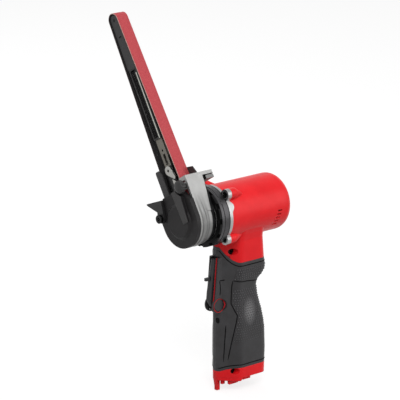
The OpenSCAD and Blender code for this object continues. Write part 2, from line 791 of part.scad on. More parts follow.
module drive_pulley() color([0.2, 0.2, 0.21]) difference() {
    on_axis(-pulley_front) cylinder(h = pulley_front - pulley_rear, r = pulley_r);
    on_axis(-pulley_front - cut) cylinder(h = belt_w + cut, r = spindle_r + seat_gap);
    for (i = [1 : pulley_grooves])
        on_axis(-pulley_front + i * (pulley_front - pulley_rear) / (pulley_grooves + 1) - pulley_groove / 2)
            tube(pulley_r + cut, pulley_r - pulley_groove, pulley_groove);
}
module hex_socket(h) cylinder(h = h, r = hex_r, $fn = 6);
module pulley_screw() color([0.35, 0.35, 0.36]) difference() {
    union() {
        on_axis(-spindle_end - pulley_screw_t) cylinder(h = pulley_screw_t, r = pulley_screw_r);
        on_axis(-spindle_end) cylinder(h = pulley_shank_len - cut, r = pulley_shank_r);
    }
    on_axis(-spindle_end - pulley_screw_t - cut) hex_socket(hex_depth + cut);
}

// Motor
module motor_plate() color([0.5, 0.5, 0.5]) difference() {
    union() {
        on_axis(plate_front) cylinder(h = plate_t, r = cavity_r - seat_gap);
        on_axis(plate_front) cylinder(h = plate_t + plate_hub_len, r = bearing_r + hub_wall);
    }
    on_axis(plate_front - cut) cylinder(h = plate_t + plate_hub_len + 2 * cut, r = bearing_r + seat_gap);
}
module front_bearing() color([0.7, 0.7, 0.72])
    on_axis(plate_front) tube(bearing_r, shaft_r + run_gap, bearing_w);
module rear_bearing() color([0.7, 0.7, 0.72])
    on_axis(rear_bearing_x) tube(motor_bearing_r, shaft_r + run_gap, motor_bearing_w);
bore_r = rotor_r + air_gap;
stator_r = cavity_r - seat_gap;
module stator_tooth_2d(gap) translate([bore_r, -stator_tooth_w / 2 - gap])
    square([stator_r - stator_yoke / 2 - bore_r, stator_tooth_w + 2 * gap]);
module stator_core() color([0.35, 0.36, 0.4]) on_axis(stator_x) linear_extrude(stator_len) difference() {
    union() {
        difference() {
            circle(stator_r);
            circle(stator_r - stator_yoke);
        }
        for (i = [0 : stator_teeth - 1]) rotate(i * 360 / stator_teeth) stator_tooth_2d(0);
    }
    circle(bore_r);
}
coil_from = bore_r + coil_in;
coil_to = stator_r - stator_yoke - coil_in;
module stator_windings() color([0.72, 0.4, 0.2]) for (i = [0 : stator_teeth - 1])
    on_axis(stator_x) rotate(i * 360 / stator_teeth) difference() {
        translate([coil_from, -stator_tooth_w / 2 - coil_t, -coil_over])
            cube([coil_to - coil_from, stator_tooth_w + 2 * coil_t, stator_len + 2 * coil_over]);
        translate([coil_from - cut, -stator_tooth_w / 2 - seat_gap, -seat_gap])
            cube([coil_to - coil_from + 2 * cut, stator_tooth_w + 2 * seat_gap, stator_len + 2 * seat_gap]);
    }
module motor_shaft() color([0.66, 0.66, 0.68]) {
    on_axis(-gear_front) linear_extrude(gear_w) gear_2d(sun_n, sun_r);
    on_axis(-gear_rear) cylinder(h = gear_rear + rear_bearing_x + motor_bearing_w, r = shaft_r);
}
module rotor_core() color([0.4, 0.4, 0.42])
    on_axis(stator_x - rotor_over) tube(rotor_r, shaft_r + seat_gap, stator_len + 2 * rotor_over);
module cooling_fan() color([0.13, 0.13, 0.14]) difference() {
    union() {
        on_axis(fan_x) cylinder(h = fan_len, r = fan_hub_r);
        on_axis(fan_x) cylinder(h = fan_plate_t, r = fan_r);
        for (i = [0 : fan_blades - 1]) on_axis(fan_x) rotate(i * 360 / fan_blades)
            translate([fan_hub_r - cut, -fan_blade_t / 2, 0])
                cube([fan_r - fan_hub_r, fan_blade_t, fan_len]);
    }
    on_axis(fan_x - cut) cylinder(h = fan_len + 2 * cut, r = shaft_r + seat_gap);
}

// Switch, board, battery contacts and gauge inside the handle
module switch_body() color([0.14, 0.14, 0.15])
    translate([-switch_front, -switch_size[1] / 2, switch_h]) cube(switch_size);
module control_board() color([0.1, 0.35, 0.2]) translate([-switch_front, 0, switch_h + switch_size[2]]) {
    translate([0, -board_w / 2, 0]) cube([switch_size[0], board_w, board_t]);
    translate([switch_size[0] / 2 - chip_size[0] / 2, -chip_size[1] / 2, board_t - seat_gap])
        cube(chip_size);
}
contact_half = section(socket_h + contact_t, core_inset + contact_gap);
module battery_contacts() color([0.16, 0.16, 0.17]) {
    translate([0, 0, socket_h]) linear_extrude(contact_t)
        polygon(concat(contact_half,
                       [for (j = [section_n - 2 : -1 : 1]) [contact_half[j][0], -contact_half[j][1]]]));
    for (i = [0 : blade_count - 1])
        translate([-blade_size[0] / 2, (i - (blade_count - 1) / 2) * blade_pitch - blade_size[1] / 2,
                   socket_h - blade_size[2]])
            cube([blade_size[0], blade_size[1], blade_size[2] + cut]);
}
module charge_gauge() color([0.05, 0.05, 0.05]) slab(gauge_front, gauge_rear) gauge_2d(0);

// A coil spring along Z as one closed tube, with its end rings capped
coil_rings = 8;
wire_sides = 6;
function coil_point(r, wire, length, turns, k, s) =
    let (a = 360 * k / coil_rings, b = 360 * s / wire_sides,
         z = wire + (length - 2 * wire) * k / (turns * coil_rings))
    [(r + wire * cos(b)) * cos(a), (r + wire * cos(b)) * sin(a), z + wire * sin(b)];
module coil_spring(r, wire, length, turns) {
    m = turns * coil_rings;
    n = wire_sides;
    echo("spring gap between turns", (length - 2 * wire) / turns - 2 * wire);
    polyhedron(
        [for (k = [0 : m], s = [0 : n - 1]) coil_point(r, wire, length, turns, k, s)],
        concat([[for (s = [0 : n - 1]) s]], [[for (s = [n - 1 : -1 : 0]) m * n + s]],
               [for (k = [0 : m - 1], s = [0 : n - 1]) let (t = (s + 1) % n, p = k * n, q = p + n)
                   each [[p + s, q + s, q + t], [p + s, q + t, p + t]]]), convexity = 10);
}

// Trigger, its return spring, its lock and the direction button
function trigger_station(i) = [-trigger_reach * trigger_shares[i][0] + trigger_w / 2,
                               trigger_bottom + trigger_h * trigger_shares[i][1]];
function back_x(z) =
    (trigger_back_bottom - trigger_back_top) * (z - trigger_bottom) / trigger_h - trigger_back_bottom;
module trigger_slice_at(i) translate([trigger_station(i)[0], 0, trigger_station(i)[1] - trigger_slice])
    cylinder(h = trigger_slice, r = trigger_w / 2, $fn = 32);
module trigger() color([0.17, 0.17, 0.18]) difference() {
    union() {
        for (i = [0 : len(trigger_shares) - 2]) hull() {
            trigger_slice_at(i);
            trigger_slice_at(i + 1);
        }
        translate([0, trigger_w / 2, 0]) rotate([90, 0, 0]) linear_extrude(trigger_w)
            polygon(concat([for (i = [0 : len(trigger_shares) - 1]) trigger_station(i)],
                           [[-trigger_back_bottom, trigger_bottom + trigger_back_rise],
                            [-trigger_back_top, trigger_top - trigger_back_drop],
                            [-trigger_back_top, trigger_top]]));
        across(pivot_x, pivot_h, -trigger_w / 2, trigger_w / 2, hub_r);
        across(pivot_x, pivot_h, -cheek_end, cheek_end, pivot_r);
    }
    translate([-lock_reach, -lock_w / 2 - pass_gap, lock_h - lock_t / 2 - pass_gap])
        cube([lock_reach - lock_root + lock_travel + pass_gap, lock_w + 2 * pass_gap,
              lock_t + 2 * pass_gap]);
}
module trigger_spring() color([0.7, 0.7, 0.7])
    translate([back_x(trigger_spring_h) + seat_gap, 0, trigger_spring_h]) rotate([0, 90, 0])
        coil_spring(trigger_spring_r, trigger_wire_r,
                    -switch_front - back_x(trigger_spring_h) - 2 * seat_gap, trigger_spring_turns);
module trigger_lock() color([0.1, 0.1, 0.1]) translate([-lock_reach, -lock_w / 2, lock_h - lock_t / 2])
    cube([lock_reach - lock_root, lock_w, lock_t]);
module direction_button() color([0.2, 0.2, 0.2]) {
    both_sides() across(button_x, button_h, button_in, button_in + button_len, button_r);
    across(button_x, bar_h, -button_in - cut, button_in + cut, button_bar_r);
}

// Head frame, guard, latch and cover
back_front = frame_rear + frame_back_t;
module lower_half(r) difference() {
    circle(r);
    translate([-r - cut, 0]) square([2 * r + 2 * cut, r + cut]);
}
module frame_outline(inset, over) {
    lower_half(frame_r - inset);
    translate([inset - frame_r, -over]) square([frame_r - inset, frame_top + 2 * over]);
    translate([-over, -over]) square([frame_r - inset + over, far_top + 2 * over]);
}
module head_frame() color([0.76, 0.76, 0.75]) difference() {
    union() {
        head_slab(frame_front, frame_rear) difference() {
            frame_outline(0, 0);
            frame_outline(frame_wall, seat_gap);
            translate([-frame_r + frame_wall, -cut]) square([frame_r, frame_top + 2 * cut]);
        }
        head_slab(back_front, frame_rear) difference() {
            union() {
                circle(frame_r);
                translate([-frame_r, 0]) square([frame_r - near_back, frame_top]);
            }
            circle(nose_r + run_gap);
        }
        head_box(frame_front, lip_rear, [-frame_r, frame_top - lip_t], [frame_r - lip_v, lip_t]);
        for (p = [[knob_v, knob_h], [lever_v, lever_h]])
            head_slab(frame_front, frame_front - frame_boss_len) translate(p) circle(frame_boss_r);
    }
    head_slab(band_front, frame_rear - cut) difference() {
        lower_half(frame_r + cut);
        circle(frame_r - band_t);
    }
    head_slab(frame_front + cut, frame_front - knob_bore_len) {
        translate([knob_v, knob_h]) circle(knob_shank_r + run_gap);
        translate([lever_v, lever_h]) circle(cover_shank_r + seat_gap);
    }
}
module belt_guard() color([0.12, 0.12, 0.13]) {
    head_slab(back_front + guard_t, back_front) difference() {
        polygon([[-lip_v + guard_gap, foot_bottom], [-lip_v + guard_gap, guard_step],
                 [-guard_near, guard_step],
                 [-guard_near + guard_chamfer[0], guard_top - guard_chamfer[1]],
                 [-guard_near + guard_crown + guard_chamfer[0], guard_top],
                 [guard_wall_in + guard_wall_t, guard_top], [guard_wall_in + guard_wall_t, foot_bottom]]);
        translate([-foot_half - guard_gap, foot_bottom - cut])
            square([2 * foot_half + 2 * guard_gap, foot_top - foot_bottom + cut + guard_gap]);
    }
    head_box(guard_front, back_front, [guard_wall_in, guard_wall_bottom],
             [guard_wall_t, guard_wall_top - guard_wall_bottom]);
    head_slab(guard_front + guard_cheek_t, guard_front - seat_gap)
        polygon([[guard_cheek_in, guard_cheek_bottom], [guard_cheek_in, guard_wall_top - guard_cheek_round],
                 [guard_cheek_in + guard_cheek_round / 2, guard_wall_top],
                 [guard_wall_in + guard_wall_t / 2, guard_wall_top],
                 [guard_wall_in + guard_wall_t, guard_wall_top - guard_wall_t],
                 [guard_wall_in + guard_wall_t, guard_cheek_bottom]]);
}
module head_latch() color([0.7, 0.7, 0.69]) {
    top = frame_top - lip_t - pass_gap;
    head_box(latch_bar_front, lip_rear, [-frame_r, top - latch_t], [frame_r - latch_in, latch_t]);
    head_box(latch_front, latch_bar_front - cut, [-latch_in - latch_arm, top - latch_t],
             [latch_arm, latch_t]);
    head_box(latch_front, latch_front - latch_tooth_t, [-latch_tooth_near, latch_tip],
             [latch_tooth_w, top - latch_tip]);
}
module cover_2d(inset) {
    r = cover_r - inset;
    circle(r);
    polygon([[-r, 0], [-r, cover_near_h], [-r + cover_near_in, cover_top - inset],
             [cover_far_in, cover_top - inset], [r, cover_far_h], [r, 0]]);
}
module pulley_cover() color([0.2, 0.2, 0.2]) difference() {
    union() {
        head_slab(cover_front, cover_front - cover_plate_t) cover_2d(0);
        head_slab(cover_front, frame_front + cover_gap) difference() {
            cover_2d(0);
            cover_2d(cover_rim_t);
        }
        on_axis(-cover_front - dome_t) cylinder(h = dome_t + cut, r1 = dome_top_r, r2 = dome_r);
        head_slab(cover_front + dome_t + strip_t, cover_front - cut) polygon(strip_outline);
    }
    head_slab(cover_front + cut, frame_front) translate([lever_v, lever_h]) circle(cover_shank_r + seat_gap);
}
lever_front = cover_front + pass_gap + lever_t;
module tension_lever() color([0.2, 0.2, 0.2]) head_slab(lever_front, cover_front + pass_gap) difference() {
    union() {
        hull() {
            translate([lever_v, lever_h]) circle(lever_hub_r);
            translate(lever_knee) circle(lever_tip_r);
            translate(lever_heel) circle(lever_heel_r);
        }
        hull() {
            translate(lever_knee) circle(lever_tip_r);
            translate(lever_tip) circle(lever_tip_r);
            translate(lever_heel) circle(lever_heel_r);
        }
    }
    translate([lever_v, lever_h]) circle(cover_shank_r + run_gap);
}
cover_screw_front = lever_front + pass_gap + cover_screw_t;
module cover_screw() color([0.06, 0.06, 0.06]) on_head()
    translate([-cover_screw_front, lever_v, lever_h]) rotate([0, 90, 0]) difference() {
        union() {
            cylinder(h = cover_screw_t, r = cover_screw_r);
            cylinder(h = cover_screw_front - frame_front + knob_bore_len - seat_gap, r = cover_shank_r);
        }
        translate([0, 0, -cut]) hex_socket(hex_depth + cut);
    }
module tracking_knob() color([0.22, 0.22, 0.22]) on_head()
    translate([-cover_front - pass_gap, knob_v, knob_h]) rotate([0, -90, 0]) {
        difference() {
            rotate_extrude() polygon(concat(
                [[0, 0], [knob_r, 0]],
                [for (i = [0 : knob_steps]) let (a = 90 * i / knob_steps)
                    [knob_r * cos(a), knob_len - knob_dome + knob_dome * sin(a)]]));
            for (i = [0 : knob_flutes - 1]) rotate(i * 360 / knob_flutes) translate([knob_r, 0, -cut])
                cylinder(h = knob_len + 2 * cut, r = knob_flute_r);
        }
        translate([0, 0, frame_front - cover_front - pass_gap - knob_bore_len + seat_gap])
            cylinder(h = cover_front + pass_gap - frame_front + knob_bore_len, r = knob_shank_r);
    }

// Half width inside the belt at a distance along the arm
function belt_half(w) = pulley_r + belt_in_gap - (pulley_r - roller_r) * w / arm_len;
channel_near = belt_half(channel_top - platen_top_in) - platen_gap - platen_t;
tip_top = arm_len - tip_body_in;
tip_half = belt_half(channel_top) - tip_gap;
tip_end_half = belt_half(tip_top) - tip_gap;

// Arm: fixed base with its spring, and the sliding arm with its roller
arm_front = belt_x + body_w / 2;
arm_rear = belt_x - body_w / 2;
module arm_base() color([0.15, 0.15, 0.16]) difference() {
    union() {
        head_box(arm_front, arm_rear, [-base_half, base_bottom], [2 * base_half, base_top - base_bottom]);
        head_box(arm_rear + cut, back_front, [-foot_half, foot_bottom],
                 [2 * foot_half, foot_top - foot_bottom]);
    }
    head_box(slide_front + seat_gap, slide_front - slide_t - seat_gap, [-slide_half - seat_gap, slide_floor],
             [2 * slide_half + 2 * seat_gap, base_top]);
    on_head() translate([-spring_x, 0, spring_floor]) cylinder(h = base_top, r = spring_bore_r);
}
module pivot_ear() color([0.8, 0.8, 0.79]) head_slab(arm_front + ear_t, arm_front) difference() {
    hull() {
        translate([ear_v, ear_h]) circle(ear_r);
        translate(ear_tail) circle(ear_tail_r);
    }
    translate([ear_v, ear_h]) circle(ear_hole_r);
}
module tension_spring() color([0.7, 0.7, 0.7]) on_head() translate([-spring_x, 0, spring_floor + seat_gap])
    coil_spring(spring_r, spring_wire_r, lug_h - spring_floor - 2 * seat_gap, spring_turns);
module slide_plate() color([0.55, 0.54, 0.51]) {
    head_slab(slide_front, slide_front - slide_t) difference() {
        translate([-slide_half, slide_bottom]) square([2 * slide_half, channel_bottom - slide_bottom]);
        translate([-slide_slot_w / 2, slide_slot_low])
            square([slide_slot_w, slide_slot_high - slide_slot_low]);
        translate([0, slide_hole_h]) circle(slide_hole_r);
    }
    head_box(slide_front - slide_t + seat_gap, arm_rear, [-lug_half, lug_h], [2 * lug_half, lug_t]);
}
module arm_channel() color([0.08, 0.08, 0.08]) difference() {
    size = [channel_near + channel_far, channel_top - channel_bottom];
    rim = [channel_rim, channel_rim];
    head_box(arm_front, arm_rear, [-channel_near, channel_bottom], size);
    head_box(arm_front + cut, arm_front - channel_pocket, [-channel_near, channel_bottom] + rim,
             size - 2 * rim);
}
module platen() color([0.8, 0.82, 0.79]) {
    low = channel_bottom + seat_gap;
    len = channel_top - channel_bottom - platen_top_in;
    head_box(belt_x + platen_w / 2, belt_x - platen_w / 2, [-channel_near - platen_t, low], [platen_t, len]);
    head_box(arm_front + platen_lip_t, arm_front, [-channel_near - platen_t, low], [platen_lip, len]);
}
module fork_2d() {
    translate([0, arm_len]) circle(fork_r);
    translate([-fork_r, arm_len - fork_len]) square([2 * fork_r, fork_len]);
}
module tip_carrier() color([0.2, 0.2, 0.21]) difference() {
    union() {
        head_slab(arm_front, arm_rear) polygon([[-tip_half, channel_top], [tip_half, channel_top],
                                               [tip_end_half, tip_top], [-tip_end_half, tip_top]]);
        head_slab(arm_front, arm_front - fork_t) fork_2d();
        head_slab(arm_rear + fork_t, arm_rear) fork_2d();
    }
    head_slab(arm_front + cut, arm_rear - cut) translate([0, arm_len]) circle(roller_pin_r + seat_gap);
    head_box(arm_front + cut, arm_front - tip_slot_t,
             [-tip_slot_w / 2, arm_len - tip_slot_in - tip_slot_len / 2], [tip_slot_w, tip_slot_len]);
}
module roller_pin() color([0.6, 0.6, 0.62])
    head_slab(arm_front, arm_rear) translate([0, arm_len]) circle(roller_pin_r);
module tip_roller() color([0.25, 0.25, 0.26])
    head_slab(arm_front - fork_t - roller_gap, arm_rear + fork_t + roller_gap)
        translate([0, arm_len]) difference() {
            circle(roller_r);
            circle(roller_pin_r + run_gap);
        }
// Belt loop: arcs round both rollers, joined by their common tangents
function loop_points(r1, r2) =
    let (d = asin((r1 - r2) / arm_len))
    concat(arc([0, 0], r1, 180 - d, 360 + d, belt_steps), arc([0, arm_len], r2, d, 180 - d, belt_steps));
module abrasive_belt() color([0.74, 0.29, 0.31])
    head_slab(belt_x + belt_w / 2, belt_x - belt_w / 2) difference() {
        polygon(loop_points(pulley_r + belt_in_gap + belt_t, roller_r + belt_in_gap + belt_t));
        polygon(loop_points(pulley_r + belt_in_gap, roller_r + belt_in_gap));
    }

housing_left();
housing_right();
grip_left();
grip_right();
gearcase();
index_collar();
ring_gear();
motor_plate();
stator_core();
stator_windings();
rear_bearing();
front_bearing();
spindle_bearing();
head_clip();
switch_body();
control_board();
battery_contacts();
housing_screws();
gearcase_screws();
charge_gauge();
trigger_spring();
motor_shaft();
rotor_core();
cooling_fan();
planet_carrier();
drive_pulley();
pulley_screw();
planet_gear_1();
planet_gear_2();
planet_gear_3();
head_frame();
pulley_cover();
cover_screw();
belt_guard();
arm_base();
pivot_ear();
tension_spring();
abrasive_belt();
arm_channel();
platen();
slide_plate();
tip_carrier();
roller_pin();
tip_roller();
tracking_knob();
tension_lever();
head_latch();
trigger();
trigger_lock();
direction_button();
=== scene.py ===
"""Looks of the cordless power file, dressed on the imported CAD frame, in metres."""
import math
import bpy
import bmesh
from mathutils import Matrix, Vector
from mathutils.bvhtree import BVHTree


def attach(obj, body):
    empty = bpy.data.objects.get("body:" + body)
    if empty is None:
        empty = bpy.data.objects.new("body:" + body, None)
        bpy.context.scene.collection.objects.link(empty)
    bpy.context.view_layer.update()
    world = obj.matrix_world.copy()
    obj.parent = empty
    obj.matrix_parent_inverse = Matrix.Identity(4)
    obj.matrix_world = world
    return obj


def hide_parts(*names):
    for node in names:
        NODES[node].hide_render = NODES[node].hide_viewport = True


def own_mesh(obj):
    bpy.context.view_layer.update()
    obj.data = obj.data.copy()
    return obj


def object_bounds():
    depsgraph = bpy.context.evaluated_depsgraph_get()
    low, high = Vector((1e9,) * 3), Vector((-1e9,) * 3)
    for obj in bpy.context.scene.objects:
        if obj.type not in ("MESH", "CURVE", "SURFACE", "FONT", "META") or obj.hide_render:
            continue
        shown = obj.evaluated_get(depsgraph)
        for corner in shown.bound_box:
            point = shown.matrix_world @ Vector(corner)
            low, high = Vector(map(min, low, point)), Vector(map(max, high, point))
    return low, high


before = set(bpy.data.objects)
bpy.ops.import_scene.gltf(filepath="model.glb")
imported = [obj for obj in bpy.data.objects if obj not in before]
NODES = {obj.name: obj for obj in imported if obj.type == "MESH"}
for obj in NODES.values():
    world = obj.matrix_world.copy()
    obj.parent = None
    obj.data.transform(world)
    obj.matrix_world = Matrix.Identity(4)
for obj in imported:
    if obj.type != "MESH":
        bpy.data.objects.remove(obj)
cad_low, cad_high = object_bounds()

MM = 0.001
BOTH_SIDES = (-1.0, 1.0)
TILT = math.radians(31.0)    # lean of the belt arm

# Sizes of the solids that the looks follow, in mm
AXIS_H = 158.0               # height of the motor axis
ARM_LEN = 196.4              # from the drive axis to the tip roller's axis
PULLEY_R = 12.5
ROLLER_R = 5.9
BELT_GAP = 0.1               # between the belt and its rollers
BELT_T = 0.9
BELT_X = 58.4                # how far the belt's middle is in front of the handle's axis
BELT_W = 12.7
FRAME_R = 24.0               # lower half of the head frame


def head(x, v, w):
    """A point in head coordinates (mm): along the motor axis, across the arm, along the arm."""
    y = w * math.sin(TILT) + v * math.cos(TILT)
    z = AXIS_H + w * math.cos(TILT) - v * math.sin(TILT)
    return Vector((x, y, z)) * MM


# Camera
def place_camera():
    """The photograph's camera, fitted to points read off it."""
    azimuth, elevation = math.radians(-41.218), math.radians(15.696)
    focal_px, image_px, sensor = 2702.976, 400.0, 36.0
    distance, shift_right, shift_up = 2488.385, 35.867, -7.103
    right = Vector((math.cos(azimuth), math.sin(azimuth), 0.0))
    up = Vector((-math.sin(azimuth) * math.sin(elevation),
                 math.cos(azimuth) * math.sin(elevation), math.cos(elevation)))
    back = right.cross(up)
    centre = (back * distance - right * shift_right - up * shift_up + Vector((0, 0, AXIS_H))) * MM
    data = bpy.data.cameras.new("photo_camera")
    data.sensor_width = sensor
    data.lens = focal_px / image_px * sensor
    data.clip_start, data.clip_end = 0.05, 50.0
    camera = bpy.data.objects.new("photo_camera", data)
    turn = Matrix((right, up, back)).transposed().to_4x4()
    camera.matrix_world = Matrix.Translation(centre) @ turn
    bpy.context.scene.collection.objects.link(camera)
    bpy.context.scene.camera = camera


place_camera()


# Materials
NOISE_ROUGHNESS = 0.55


class Paint:
    """A node material in object coordinates, with a rounded-edge normal and an edge mask."""

    def __init__(self, name, metallic=0.0, edge_mm=0.3, specular=0.3):
        self.mat = bpy.data.materials.new(name)
        self.mat.use_nodes = True
        self.tree = self.mat.node_tree
        self.bsdf = self.tree.nodes["Principled BSDF"]
        self.bsdf.inputs["Metallic"].default_value = metallic
        self.bsdf.inputs["Specular IOR Level"].default_value = specular
        self.where = self.add("ShaderNodeTexCoord").outputs["Object"]
        split = self.add("ShaderNodeSeparateXYZ", Vector=self.where)
        self.x, self.y, self.z = split.outputs
        bevel = self.add("ShaderNodeBevel")
        bevel.samples = 6
        bevel.inputs["Radius"].default_value = edge_mm * MM
        self.normal = bevel.outputs["Normal"]
        true_normal = self.add("ShaderNodeNewGeometry").outputs["Normal"]
        dot = self.add("ShaderNodeVectorMath")
        dot.operation = "DOT_PRODUCT"
        self.tree.links.new(self.normal, dot.inputs[0])
        self.tree.links.new(true_normal, dot.inputs[1])
        self.edge = self.span(dot.outputs["Value"], 0.995, 0.9)

    def add(self, kind, **inputs):
        """A new node, with values or links for some of its inputs."""
        node = self.tree.nodes.new(kind)
        for name, value in inputs.items():
            self.feed(node.inputs[name], value)
        return node

    def feed(self, socket, value):
        """Links a socket to an output, or sets it to a number, a vector or a colour."""
        if isinstance(value, bpy.types.NodeSocket):
            self.tree.links.new(value, socket)
        elif isinstance(value, tuple) and len(value) == 3 and socket.type == "RGBA":
            socket.default_value = (*value, 1.0)
        else:
            socket.default_value = value

    def math(self, operation, *values):
        """One step of arithmetic on outputs and numbers."""
        node = self.tree.nodes.new("ShaderNodeMath")
        node.operation = operation
        for socket, value in zip(node.inputs, values):
            self.feed(socket, value)
        return node.outputs[0]

    def span(self, value, low, high, to_low=0.0, to_high=1.0):
        """The value's place between low and high, clamped and brought to a new range."""
        node = self.add("ShaderNodeMapRange", Value=value)
        for name, number in (("From Min", low), ("From Max", high), ("To Min", to_low), ("To Max", to_high)):
            node.inputs[name].default_value = number
        return node.outputs[0]

    def noise(self, per_metre, detail=3.0, where=None):
        """Cloudy noise between 0 and 1."""
        where = where or self.where
        node = self.add("ShaderNodeTexNoise", Vector=where, Scale=float(per_metre), Detail=detail)
        node.inputs["Roughness"].default_value = NOISE_ROUGHNESS
        return node.outputs[0]

    def cells(self, per_metre, where=None):
        """Distance from the middle of the nearest of many scattered cells."""
        node = self.add("ShaderNodeTexVoronoi", Vector=where or self.where, Scale=float(per_metre))
        return node.outputs["Distance"]

    def stretched(self, sx, sy, sz):
        """Object coordinates, stretched so that a noise becomes a brush mark."""
        node = self.add("ShaderNodeMapping", Vector=self.where)
        node.inputs["Scale"].default_value = (sx, sy, sz)
        return node.outputs[0]

    def on_arm(self):
        """Distances across and along the belt arm, from the drive axis."""
        up = self.math("SUBTRACT", self.z, AXIS_H * MM)
        across = self.math("SUBTRACT", self.math("MULTIPLY", self.y, math.cos(TILT)),
                           self.math("MULTIPLY", up, math.sin(TILT)))
        along = self.math("ADD", self.math("MULTIPLY", self.y, math.sin(TILT)),
                          self.math("MULTIPLY", up, math.cos(TILT)))
        return across, along

    def join(self, x, y, z):
        """A vector from three outputs or numbers."""
        return self.add("ShaderNodeCombineXYZ", X=x, Y=y, Z=z).outputs[0]

    def mix(self, factor, a, b):
        """Colour a where the factor is 0, and colour b where it is 1."""
        node = self.tree.nodes.new("ShaderNodeMix")
        node.data_type = "RGBA"
        self.feed(node.inputs[0], factor)
        self.feed(node.inputs[6], a)
        self.feed(node.inputs[7], b)
        return node.outputs[2]

    def bump(self, height, depth_mm, strength=1.0, normal=None):
        """A normal that follows a height, on top of the rounded-edge normal or another one."""
        node = self.add("ShaderNodeBump", Height=height, Normal=normal or self.normal)
        node.inputs["Distance"].default_value = depth_mm * MM
        node.inputs["Strength"].default_value = strength
        return node.outputs[0]

    def finish(self, color, roughness, normal):
        """The finished material, with its colour, roughness and normal joined on."""
        self.feed(self.bsdf.inputs["Base Color"], color)
        self.feed(self.bsdf.inputs["Roughness"], roughness)
        self.feed(self.bsdf.inputs["Normal"], normal)
        return self.mat


def srgb(r, g, b):
    """A colour given in 0 to 255, as linear light."""
    def one(c):
        c /= 255.0
        return c / 12.92 if c <= 0.04045 else ((c + 0.055) / 1.055) ** 2.4
    return (one(r), one(g), one(b))


def moulded(name, color, rough, grain_mm, depth_mm, wear=0.25, edge_mm=0.35, specular=0.3):
    """Injection moulded plastic: fine spark-eroded grain, soft mottling, edges polished by handling."""
    p = Paint(name, edge_mm=edge_mm, specular=specular)
    mottle = p.noise(90, 4.0)
    grain = p.noise(1000 / grain_mm, 2.0)
    dark = tuple(c * 0.9 for c in color)
    light = tuple(min(1.0, c * 1.06 + 0.004) for c in color)
    base = p.mix(p.span(mottle, 0.3, 0.7), dark, light)
    worn = tuple(min(1.0, c * 1.15 + 0.03) for c in color)
    base = p.mix(p.math("MULTIPLY", p.edge, wear), base, worn)
    gloss = p.span(p.noise(260, 3.0), 0.25, 0.75, rough - 0.05, rough + 0.06)
    gloss = p.math("SUBTRACT", gloss, p.math("MULTIPLY", p.edge, 0.06))
    return p.finish(base, gloss, p.bump(grain, depth_mm))


def metal(name, color, rough, brush=(1.0, 1.0, 1.0), grain_per_m=900, depth_mm=0.01, wear=0.5, metallic=1.0):
    """Bare or plated metal: brushed or cast grain, cloudy patches, bright edges."""
    p = Paint(name, metallic=metallic, edge_mm=0.25)
    grain = p.noise(grain_per_m, 3.0, p.stretched(*brush))
    cloud = p.noise(70, 3.0)
    dark = tuple(c * 0.86 for c in color)
    base = p.mix(p.span(cloud, 0.3, 0.7), dark, color)
    bright = tuple(min(1.0, c * 1.25 + 0.05) for c in color)
    base = p.mix(p.math("MULTIPLY", p.edge, wear), base, bright)
    gloss = p.span(grain, 0.25, 0.75, rough - 0.07, rough + 0.08)
    return p.finish(base, gloss, p.bump(grain, depth_mm))


def red_shell():
    """The bright red housing, with a fine parting line, and painted shade inside the trigger slot."""
    p = Paint("red_shell", edge_mm=0.8, specular=0.18)
    red, deep, pale = srgb(240, 34, 40), srgb(228, 26, 33), srgb(246, 64, 66)
    base = p.mix(p.span(p.noise(60, 4.0), 0.3, 0.7), deep, red)
    base = p.mix(p.math("MULTIPLY", p.edge, 0.35), base, pale)
    seam = p.span(p.math("ABSOLUTE", p.y), 0.05 * MM, 0.22 * MM, 1.0, 0.0)
    base = p.mix(p.math("MULTIPLY", seam, 0.5), base, srgb(110, 8, 12))
    true_normal = p.add("ShaderNodeNewGeometry").outputs["Normal"]
    facing = p.add("ShaderNodeSeparateXYZ", Vector=true_normal).outputs["Y"]
    outward = p.math("MULTIPLY", facing, p.math("SIGN", p.y))
    # painted shade in the trigger slot: darker red on faces that look outward, near black on the cheeks'
    # inner faces
    slot_rear, slot_low, slot_high, blur = -21.0, 60.0, 118.8, 0.4
    slot = p.math("MULTIPLY", p.span(p.x, slot_rear * MM, (slot_rear - blur) * MM),
                  p.span(p.z, slot_low * MM, (slot_low + blur) * MM))
    slot = p.math("MULTIPLY", slot, p.span(p.z, slot_high * MM, (slot_high - blur) * MM))
    base = p.mix(p.math("MULTIPLY", slot, 0.6), base, srgb(150, 24, 34))
    base = p.mix(p.math("MULTIPLY", slot, p.span(outward, 0.75, 0.55)), base, srgb(36, 35, 36))
    gloss = p.span(p.noise(300, 3.0), 0.25, 0.75, 0.30, 0.42)
    grain = p.bump(p.noise(2200, 2.0), 0.012)
    normal = p.bump(p.math("MULTIPLY", seam, -1.0), 0.15, 1.0, grain)
    return p.finish(base, gloss, normal)


# Front border of the dotted zone on the grip: height and x, in mm
DOT_BORDER = [(17.6, -22.5), (32.4, -20.5), (44.4, -18.6), (54.8, -16.8), (60.8, -15.9),
              (65.2, -18.2), (72.0, -19.9), (83.6, -19.5), (94.4, -18.8), (112.0, -17.0)]


